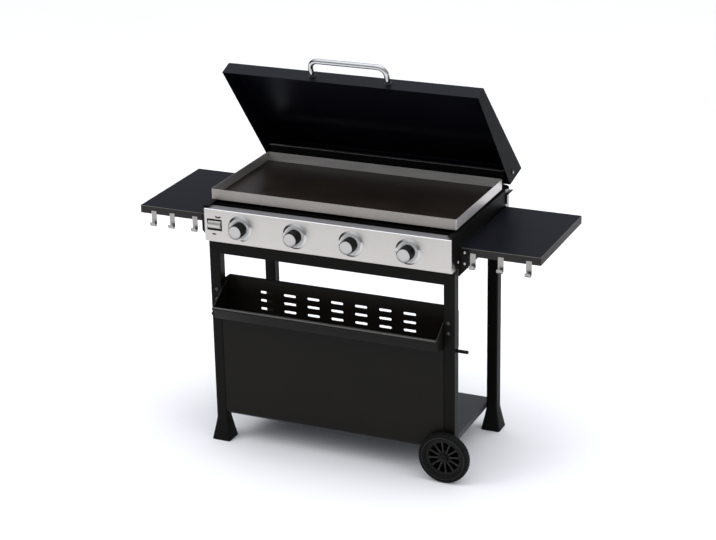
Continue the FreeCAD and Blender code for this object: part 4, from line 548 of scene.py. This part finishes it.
# Along a spoke, t from 0 to 1, its half width is 2.7 + 2.4 |2t - 1|^3 and its half depth 4 - t.
spoke_part = np.linspace(0, 1, 15)
spoke_half = 2.7 + 2.4 * np.abs(2 * spoke_part - 1) ** 3
spoke_rise = 4.0 - 1.0 * spoke_part
spoke_half[[0, -1]] = spoke_rise[[0, -1]] = 0
spoke_turn = np.linspace(0, 2 * np.pi, 16, endpoint=False)
spoke_across = spoke_half[:, None] * np.sign(np.cos(spoke_turn)) * np.abs(np.cos(spoke_turn)) ** 0.8
spoke_along = spoke_rise[:, None] * np.sign(np.sin(spoke_turn)) * np.abs(np.sin(spoke_turn)) ** 0.7
spoke_out = (spoke_start + (spoke_end - spoke_start) * spoke_part)[:, None] + 0 * spoke_turn


def spoke(number):
    """One spoke: rings of a softened oval, narrow in the middle and wider at both ends, carried
    outwards along a radius of the wheel and turned to its place."""
    angle = 2 * math.pi * (number + 0.25) / spoke_count
    side = spoke_out * math.cos(angle) - spoke_across * math.sin(angle)
    rise = spoke_out * math.sin(angle) + spoke_across * math.cos(angle)
    return wheel_centre + np.stack([side, -spoke_along, rise], axis=-1) / 1000


# Moulded polypropylene: a trace lighter than the tyre, smooth from the mould.
wheel_plastic = grained_finish("moulded_wheel_plastic", "#0f0f0e", "#181816", roughness=0.42,
                               grain_mm=0.9, depth=0.08, specular=0.14, cloud_mm=60)
# The spokes are a slightly paler grey: painted light on the parts that stand proud.
spoke_plastic = grained_finish("spoke_plastic_painted_lit", "#20201d", "#2e2e2a", roughness=0.4, grain_mm=0.9,
                               depth=0.08, specular=0.25, cloud_mm=60)
# The closed back is rough from the mould and near black: painted shade in the windows behind the spokes.
back_disc_finish = grained_finish("back_disc_painted_shade", "#020202", "#050505", roughness=0.7, grain_mm=0.9,
                            depth=0.1, specular=0.02, cloud_mm=60)
surface("spoked_wheel", "wheel",
        [(turned(rim_loop, wheel_centre, steps=96), 0), (turned(hub_loop, wheel_centre, steps=96), 0),
         (turned(back_loop, wheel_centre, steps=96), 1)]
        + [(spoke(number), 2) for number in range(spoke_count)],
        [wheel_plastic, back_disc_finish, spoke_plastic], ["wheel_hub"])

# Axle bolt: a low dome outside the wheel, a collar between wheel and leg, and a hexagon nut.
axle_radius, axle_head, nut_seat, axle_steps = 5, 9, -60.3, 48
dome_turn = np.linspace(0, 1.4, 9)
axle_rows = np.vstack([
    np.column_stack([axle_head * np.sin(dome_turn), 17.3 + 4 * np.cos(dome_turn)]),
    [(axle_head, 17.4), (axle_head, 15.5), (8.8, 15.3), (axle_radius, 15.3), (axle_radius, -15.3),
     (axle_head, -15.3), (axle_head, -19.7), (axle_radius, -19.7), (axle_radius, nut_seat),
     (8.6, nut_seat), (axle_head, nut_seat - 0.4), (axle_head, nut_seat - 5.6), (8.6, nut_seat - 6),
     (0, nut_seat - 6)]])
axle_shape = np.where(axle_rows[:, 1:] <= nut_seat, hexagon(axle_steps)[None], 1.0)
axle_grid = turned(axle_rows, wheel_centre, steps=axle_steps, shape=axle_shape)
surface("axle_bolt_and_nut", "station", [(axle_grid, 0)], [wheel_plastic], ["axle_bolt"])


# Fire box: folded side panels, a rear wall that rises as a splash, an inner wall and a floor, of
# coated sheet like the cart. Heat keeps the coat inside it a little duller.
def worked_metal(name, dark, light, roughness, stretch, scratch_mm, depth, spread_out=0.08, metallic=1.0):
    """Bare metal with fine marks from how it was worked: noise drawn out along one axis by
    stretch, in tone, gloss and bump, with slow clouds of handling over it. The roughness strays
    by spread_out to both sides. Below 1, metallic scatters a part of the light, as a scuffed or
    greasy face does."""
    material, tree, shader = new_material(name, Metallic=metallic)
    marks = noise(tree, object_place(tree, stretch), 1000 / scratch_mm, Detail=3.0)
    clouds = noise(tree, object_place(tree), 9.0, Detail=3.0)
    dress(tree, shader, blend(tree, dark, light, marks),
          spread(tree, combine(tree, "ADD", marks, clouds), max(roughness - spread_out, 0.03),
                 roughness + spread_out, 0.4, 1.6), marks, 0.25, depth)
    return material


def refinish(piece, material, choose):
    """Gives another finish to the faces that a rule on their middles and normals chooses."""
    mesh = piece.data
    mesh.materials.append(material)
    places, normals = (np.empty(len(mesh.polygons) * 3) for _ in range(2))
    mesh.polygons.foreach_get("center", places)
    mesh.polygons.foreach_get("normal", normals)
    chosen = choose(places.reshape(-1, 3), normals.reshape(-1, 3))
    kinds = np.empty(len(mesh.polygons), np.int32)
    mesh.polygons.foreach_get("material_index", kinds)
    kinds[chosen] = len(mesh.materials) - 1
    mesh.polygons.foreach_set("material_index", kinds)


box_coat = grained_finish("black_heat_coat", "#080808", "#0f0f0e", roughness=0.5, grain_mm=1.5,
                          depth=0.15, specular=0.07, cloud_mm=120)
for sheet in ("fire_box_left", "fire_box_right", "inner_wall", "fire_box_floor"):
    finished(sheet, box_coat, edge=0.35)
splash_wall = finished("rear_wall", box_coat, edge=0.35)
# The upper flange of the splash wall is pale bare steel: a painted highlight that shows as a bright line.
splash_flange = 0.9735
flange_glint_finish = worked_metal("flange_painted_glint", "#b4b2ae", "#cccac6", roughness=0.5,
                           stretch=(0.03, 1, 1), scratch_mm=1.6, depth=0.05)
refinish(splash_wall, flange_glint_finish, lambda places, normals: places[:, 2] > splash_flange)


# Gas train: aluminised burner tubes with side ports, fed from a steel manifold through brass
# valves, with a brass flare fitting for the supply. The valve stems slide in under the knobs.

# Aluminised steel: a soft grey, drawn along the tube.
aluminised = worked_metal("aluminised_steel", "#8a8781", "#a6a39d", roughness=0.42, stretch=(1, 0.08, 1),
                          scratch_mm=1.6, depth=0.08)
for name in ["gas_manifold"] + ["burner_%d" % number for number in (1, 2, 3, 4)]:
    finished(name, aluminised)
# Turned brass: yellow, with close tool marks round each fitting.
turned_brass = worked_metal("turned_brass", "#b08d45", "#cfae66", roughness=0.3, stretch=(1, 1, 1),
                            scratch_mm=0.8, depth=0.03)
for name in ("gas_inlet", "gas_valves"):
    finished(name, turned_brass)
# Drawn steel rod: plain bright steel, drawn along the stem.
stem_steel = worked_metal("drawn_stem_steel", "#9d9c99", "#b9b8b4", roughness=0.3, stretch=(1, 0.1, 1),
                          scratch_mm=0.9, depth=0.04)
for number in (1, 2, 3, 4):
    finished("stem_%d" % number, stem_steel)


# Spark electrodes: glazed ceramic rods with a wire tip beside each burner, clipped in the inner
# wall. The glaze is glossy ivory, browned in faint clouds by the flame.
glazed_ceramic = grained_finish("glazed_ceramic", "#cfc6b4", "#e9e3d6", roughness=0.16, grain_mm=1.2,
                                depth=0.03, specular=0.5, cloud_mm=12)
finished("spark_electrodes", glazed_ceramic)


# Fascia: one folded sheet of stainless steel, brushed across the station before it was bent, so its face is a
# light satin, and its upper bend carries a painted highlight line. Two plain printed signs stand above and
# below the igniter: a spark chevron and a press oval.
fascia_steel = worked_metal("brushed_fascia_steel", "#b9b5b0", "#cbc7c1", roughness=0.36,
                            stretch=(0.03, 1, 1), scratch_mm=1.6, depth=0.06)
fascia_sheet = finished("fascia", fascia_steel, edge=0.3)
# Its upper flange, under the band of the griddle, is a mid grey copy of the steel that scatters most of its
# light: a painted reflection, so that it shows grey rather than black.
dull_flange = worked_metal("flange_steel_painted_grey", "#6c6b6c", "#858485", roughness=0.5,
                           stretch=(0.03, 1, 1), scratch_mm=1.6, depth=0.05, metallic=0.3)
refinish(fascia_sheet, dull_flange, lambda places, normals: normals[:, 2] > 0.9)
# Along the bend below it the sheet is painted nearly white: a painted highlight line.
bright_bend = worked_metal("bend_painted_highlight", "#f4f3f1", "#fcfbfa", roughness=0.4,
                           stretch=(0.03, 1, 1), scratch_mm=1.6, depth=0.05, metallic=0.5)
refinish(fascia_sheet, bright_bend,
         lambda places, normals: (normals[:, 2] > 0.2) & (normals[:, 2] < 0.9) & (normals[:, 1] < -0.2))

sign_face = -25.0
sign_print = grained_finish("printed_sign_ink", "#2c2c2c", "#3a3a3a", roughness=0.5, grain_mm=0.9,
                            depth=0.02, specular=0.3, cloud_mm=10)


def sign_strip(line, half, across_mm, height_mm):
    """A raised strip of print along a line of side and rise offsets: rings of four points, a
    half width for each point to both sides of the line and 0.15 mm proud, closed at the ends."""
    way = np.gradient(line, axis=0)
    way /= np.linalg.norm(way, axis=1)[:, None]
    normal = np.column_stack([-way[:, 1], way[:, 0]])
    half[[0, -1]] = 0
    rings = []
    for turn, proud in ((1, -0.15), (1, 0.05), (-1, 0.05), (-1, -0.15)):
        side, rise = (line + turn * half[:, None] * normal).T
        depth = np.full(len(line), sign_face + proud)
        rings.append(np.column_stack([across_mm + side, depth, height_mm + rise]))
    return np.stack(rings, axis=1) / 1000 + (0, leg_front, 0), 0


chevron_half, chevron_width, chevron_slope, chevron_points = 11.5, 3.0, 0.35, 15
oval_long, oval_short = 8, 3.2
chevron_side = np.linspace(-chevron_half, chevron_half, chevron_points)
chevron = np.column_stack([chevron_side, np.abs(chevron_side) * chevron_slope - 2])
oval_turn = np.linspace(0, np.pi, 25)
oval = np.column_stack([-oval_long * np.cos(oval_turn), 0 * oval_turn])
surface("igniter_signs", "station",
        [sign_strip(chevron, np.full(chevron_points, chevron_width), -407, 868),
         sign_strip(oval, oval_short * np.sin(oval_turn), -424, 805)], [sign_print])


# Knob bezels and knobs: pressed rings of chromed steel on the fascia, dished round each stem, and
# soft-grip knobs with a spun aluminium disc let into the front, 8 mm off the fascia.
first_knob, knob_pitch, fascia_face, knob_level = -322, 209, -25, 836
knob_places = {number: at(first_knob + knob_pitch * (number - 1), fascia_face, knob_level)
               for number in (1, 2, 3, 4)}
bezel_ring = rounded([(25, 0), (46, 0), (46, 1), (38, 6), (36.5, 6)], 0.9)
bezel_dish = np.vstack([[(36.5, 6)], rounded([(36.5, 6), (35.5, 5.4), (30, 2.6), (25, 1), (25, 0)], 0.9)[1:]])
# Bright chrome: a dark and white mirror of its surroundings, hazed only a little.
bright_chrome = worked_metal("bright_chrome", "#b4b3b1", "#c8c7c5", roughness=0.17, stretch=(1, 1, 1),
                             scratch_mm=3.0, depth=0.01, spread_out=0.03)
# Inside the crest the chrome is a pale satin that is mostly diffuse: a painted reflection that keeps the dish
# bright beside the dark knob.
dish_chrome = worked_metal("dish_chrome_painted_pale", "#e4e3e0", "#f3f2ef", roughness=0.45, stretch=(1, 1, 1),
                           scratch_mm=3.0, depth=0.01, spread_out=0.03, metallic=0.2)
surface("dished_bezels", "station",
        [(turned(bezel_ring, place, steps=96), 0) for place in knob_places.values()]
        + [(turned(bezel_dish, place, steps=96), 1) for place in knob_places.values()],
        [bright_chrome, dish_chrome], ["knob_bezels"])

# The grip: round the knob its flutes are cut by (0.5 + 0.5 cos(24 a))^2 of their full depth, and
# the cut fades out towards the skirt and the face.
knob_steps, knob_flutes, flute_cut = 192, 24, 0.7
grip_start, grip_end, grip_out = 14.6, 41, 24.9
knob_rows = np.vstack([
    rounded([(4.1, 18), (4.1, 8), (25.5, 8), (26, 8.8), (26, 13.2), (25.7, 14)], 0.6),
    np.column_stack([np.linspace(25.7, 25.1, 12), np.linspace(grip_start, grip_end, 12)]),
    rounded([(25, 41.8), (24.5, 42.8), (23.6, 43), (23.6, 41), (4.1, 41), (4.1, 18)], 0.6)])
knob_out, knob_along = knob_rows[:, :1], knob_rows[:, 1:]
knob_turn = np.linspace(0, 2 * np.pi, knob_steps, endpoint=False)[None]
on_grip = (np.clip((knob_along - grip_start) / 2, 0, 1) * np.clip((grip_end + 0.5 - knob_along) / 3, 0, 1)
           * (knob_out > grip_out))
knob_shape = 1 - flute_cut / knob_out * on_grip * (0.5 + 0.5 * np.cos(knob_flutes * knob_turn)) ** 2
disc_rows = rounded([(0, 43.2), (19.5, 43), (21, 43.9), (22.4, 44), (23.2, 43.2), (23.2, 41.2), (0, 41.2)],
                    0.7)
# Soft-grip elastomer: black and dry, with a fine grain that breaks up its shine.
soft_grip = grained_finish("soft_grip_elastomer", "#090909", "#101010", roughness=0.5, grain_mm=1.2,
                           depth=0.2, specular=0.1, cloud_mm=30)
# Spun aluminium: light, with close rings round the middle from the lathe, read from the distance
# to the middle, and drawn at 0.8 mm, coarser than real, so that they show.
spun_disc, disc_tree, disc_shader = new_material("spun_aluminium", Metallic=1.0)
ring_mm = 0.8
disc_out = add_node(disc_tree, "ShaderNodeAttribute", attribute_name="out")
disc_rings = add_node(disc_tree, "ShaderNodeTexNoise", {"Scale": 1000 / ring_mm, "Detail": 2.0},
                      {"W": disc_out.outputs["Fac"]}, noise_dimensions="1D").outputs["Fac"]
dress(disc_tree, disc_shader, blend(disc_tree, "#a9a7a4", "#c6c4c1", disc_rings),
      spread(disc_tree, disc_rings, 0.26, 0.42), disc_rings, strength=0.3, depth=0.05)
for number, place in knob_places.items():
    surface("grip_knob_%d" % number, "knob_%d" % number,
            [(turned(knob_rows, place, steps=knob_steps, shape=knob_shape), 0),
             (turned(disc_rows, place, steps=64), 1)], [soft_grip, spun_disc], ["knob_%d" % number])


# Igniter: a moulded recess in the fascia with a satin chromed barrel across it, which is pushed
# in against a spring by the finger, and a plain spark unit behind.
recess_plastic = grained_finish("moulded_recess_plastic", "#080808", "#0e0e0e", roughness=0.45,
                                grain_mm=1.0, depth=0.1, specular=0.12, cloud_mm=40)
for name in ("igniter_recess", "spark_unit"):
    finished(name, recess_plastic, edge=0.3)
barrel_place = at(-421.5, -15, 839)
barrel_radius, barrel_half, pin_radius, pin_length = 17, 25, 3, 30.5
barrel_rows = rounded([(0, -barrel_half), (barrel_radius, -barrel_half), (barrel_radius, barrel_half),
                       (0, barrel_half)], 2.5, 7)
pin_rows = rounded([(0, 0), (pin_radius, 0), (pin_radius, pin_length), (0, pin_length)], 0.6)
# Satin chrome on plastic: pale and softly blurred, with close grooves across the thumb's way.
satin_chrome = worked_metal("satin_chrome", "#a3a19d", "#d2d0cc", roughness=0.46, stretch=(0.03, 1, 1),
                            scratch_mm=3.6, depth=0.35)
surface("igniter_barrel", "igniter",
        [(turned(barrel_rows, barrel_place, (1, 0, 0), 64), 0),
         (turned(pin_rows, barrel_place, (0, 1, 0), 24), 0)], [satin_chrome], ["igniter_button"])


# Griddle: a thick carbon steel plate welded into a band of stainless steel. The plate is oiled
# and burnt on to a dark brown patina that is blotchy and half glossy, and the band is brushed.

# Heat and fat have left the band dull, so that part of its light is scattered. Its right end is painted pale:
# a painted highlight on the faces turned to the right.
rim_steel = worked_metal("brushed_band_steel", "#8a857f", "#a39e97", roughness=0.38, stretch=(0.03, 1, 1),
                         scratch_mm=1.8, depth=0.08, metallic=0.75)
toned_where(rim_steel, "#dad5d2", ramp(rim_steel.node_tree, facing(rim_steel.node_tree, "X"), 0.5, 0.9))
griddle_band = finished("griddle_rim", rim_steel, edge=0.4)
# Inside, the rear of the band has a paler, duller copy of the steel.
plate_level = 0.915
inner_band_finish = worked_metal("pale_dull_inner_band", "#a5a29e", "#cfccc8", roughness=0.5,
                            stretch=(0.05, 1, 0.4), scratch_mm=6.0, depth=0.08, metallic=0.45)
refinish(griddle_band, inner_band_finish,
         lambda places, normals: (normals[:, 1] < -0.9) & (places[:, 1] > 0) & (places[:, 2] > plate_level))
# Burnt oil on carbon steel: brown patches of about 125 mm, half glossy, over marks of about 2.4 mm.
patch_waves, mark_waves = 8.0, 420.0
patina, patina_tree, patina_shader = new_material("seasoned_carbon_steel", Metallic=0.35,
                                                  Specular_IOR_Level=0.4)
patina_place = object_place(patina_tree)
patches = noise(patina_tree, patina_place, patch_waves, Detail=8.0, Roughness=0.66)
marks = noise(patina_tree, patina_place, mark_waves, Detail=2.0)
dress(patina_tree, patina_shader, blend(patina_tree, "#0f0c0a", "#3a3029", patches),
      spread(patina_tree, patches, 0.26, 0.56), marks, strength=0.3, depth=0.12)
finished("griddle_plate", patina, edge=0.5)


# Grease path: a stainless chute under the drain, and a spun stainless cup that hangs by its
# collar in a forked bracket behind the rear wall.
chute_steel = worked_metal("plain_chute_steel", "#a8a6a2", "#bebcb8", roughness=0.34, stretch=(1, 0.1, 1),
                           scratch_mm=1.6, depth=0.05)
finished("grease_chute", chute_steel, edge=0.2)
finished("cup_fork", box_coat, edge=0.4)
cup_radius, cup_base, cup_top, collar_radius, collar_low, collar_high = 35, 823, 898, 38.5, 886.3, 888.3
cup_sheet = 1.2
cup_rows = rounded([
    (0, cup_base), (cup_radius, cup_base), (cup_radius, collar_low), (collar_radius, collar_low),
    (collar_radius, collar_high), (cup_radius, collar_high), (cup_radius, cup_top - 1.4),
    (cup_radius + 0.6, cup_top), (cup_radius - 1.4, cup_top), (cup_radius - cup_sheet, cup_top - 1.6),
    (cup_radius - cup_sheet, cup_base + cup_sheet), (0, cup_base + cup_sheet)], 1.1)
cup_steel = worked_metal("spun_cup_steel", "#8e8c88", "#a8a6a2", roughness=0.3, stretch=(1, 1, 12),
                         scratch_mm=1.5, depth=0.03)
cup_grid = turned(cup_rows, at(424, 541, 0), (0, 0, 1), 96)
surface("spun_grease_cup", "cup", [(cup_grid, 0)], [cup_steel], ["grease_cup"])


# Lid hinge: two coated ears on the splash wall and a blackened rod through them and both sides
# of the lid, with caps outside the lid whose riveted crowns are zinc plated.
finished("hinge_ears", box_coat, edge=0.4)
# Zinc plate: light grey with a bluish, slightly cloudy lustre.
zinc_plate = worked_metal("zinc_plated_steel", "#b4b6b8", "#cdcfd1", roughness=0.3, stretch=(1, 1, 1),
                          scratch_mm=4.0, depth=0.02)
pivot = at(0, 533, 962)
rod_half, rod_out, cap_out, crown_out = 475.3, 5.0, 7.0, 4.2
cap_turn = np.linspace(math.asin(crown_out / cap_out), math.pi / 2, 6)
cap_rows = np.column_stack([cap_out * np.sin(cap_turn), rod_half + 2.2 + 2.0 * np.cos(cap_turn)])
hinge_rows = np.vstack([cap_rows * (1, -1), [(cap_out, -rod_half), (rod_out, -rod_half), (rod_out, rod_half),
                                             (cap_out, rod_half)], cap_rows[::-1]])
crown_turn = np.linspace(0, math.pi / 2, 6)
crown_rows = np.column_stack([crown_out * np.sin(crown_turn), cap_rows[0, 1] + 1.1 * np.cos(crown_turn)])
surface("hinge_rod_and_caps", "station",
        [(turned(hinge_rows, pivot, (1, 0, 0), 48), 0)]
        + [(turned(crown_rows, pivot, (way, 0, 0), 48), 1) for way in (-1, 1)],
        [black_oxide, zinc_plate], ["hinge_rod"])


# Lid: a deep pan folded from one sheet, its corners closed, under a smooth black enamel that is
# glossier than the cart's coat. A bent tube handle stands off its front face on two ferrules.

# Enamel: black with a cold cast, a painted reflection of the sky, in clouds of about 220 mm, with a peel of
# 2.6 mm.
lid_enamel = grained_finish("black_lid_enamel", "#08080e", "#0f1018", roughness=0.36, grain_mm=2.6,
                            depth=0.15, specular=0.115, cloud_mm=220)
lid_pan = finished("lid_shell", lid_enamel, edge=0.4)
# Its ends get a duller copy of the enamel, neutral grey and a little lighter, with a deeper peel: painted
# light on the sides.
lid_end = 0.4745
lid_end_coat = grained_finish("lid_end_enamel_painted_grey", "#0d0d0c", "#191918", roughness=0.5, grain_mm=2.2,
                              depth=0.3, specular=0.03, cloud_mm=30)
refinish(lid_pan, lid_end_coat,
         lambda places, normals: (np.abs(normals[:, 0]) > 0.9) & (np.abs(places[:, 0]) > lid_end))
# Polished stainless tube: bright, with dark lines of its surroundings drawn along it.
handle_steel = worked_metal("polished_handle_tube", "#b2b2b1", "#cbcbca", roughness=0.16,
                            stretch=(0.05, 1, 1), scratch_mm=1.2, depth=0.02, spread_out=0.05)
finished("lid_handle", handle_steel)
finished("handle_ferrules", black_oxide)


# Side shelves: pressed pans with rounded corners and edges turned down, coated like the cart, on
# gusset brackets that are bolted through their tabs.

# Powder coat on the shelves: black with a cold cast from the sky, with a peel of 1.5 mm.
shelf_coat = grained_finish("black_shelf_coat", "#09090f", "#12121b", roughness=0.4, grain_mm=1.5,
                            depth=0.15, specular=0.065, cloud_mm=200)
# Its turned down edges are painted a warm grey, painted light on the faces that stand upright, and the bend
# above them a paler painted highlight line.
shelf_tree = shelf_coat.node_tree
toned_where(shelf_coat, "#312f2d", ramp(shelf_tree, facing(shelf_tree, "Z"), 0.7, 0.2))
toned_where(shelf_coat, "#5e5d5a", band(shelf_tree, facing(shelf_tree, "Z"), 0.3, 0.5, 0.8, 0.95))
for shelf in ("side_shelf_left", "side_shelf_right"):
    finished(shelf, shelf_coat)
finished("shelf_brackets", sheet_coat, edge=0.5)
# Eight bolts hold the shelves' tabs on the brackets, and four screws hold the brackets' flanges
# on the fire box.
tab_sides, tab_heights, tab_seats = (-484, 484), (836, 797), ((33.5, -1), (482.5, 1))
flange_side, flange_level, flange_depths = 465.5, 804, (21, 490)
shelf_bolt_set = [bolt(at(side, seat, height), (0, way, 0), head=5.2, rise=3.5, shank=2.5, grip=3.7,
                       nut=4.3, nut_rise=3.5, steps=36)
                  for side in tab_sides for height in tab_heights for seat, way in tab_seats]
shelf_bolt_set += [bolt(at(flange_side * way, depth, flange_level), (way, 0, 0), head=5.2, rise=3.5, shank=3,
                        grip=6, steps=36)
                   for way in (-1, 1) for depth in flange_depths]
surface("shelf_bolt_set", "station", shelf_bolt_set, [zinc_plate], ["shelf_bolts"])


# Hooks: six flat stainless straps welded to the front flanges of the side shelves and curled
# forwards and up. They are left satin from the mill.
hook_steel = worked_metal("satin_hook_steel", "#8f8c87", "#aaa7a1", roughness=0.32, stretch=(1, 1, 0.06),
                          scratch_mm=1.2, depth=0.05)
for name in ("hooks_left", "hooks_right"):
    finished(name, hook_steel, edge=0.3)
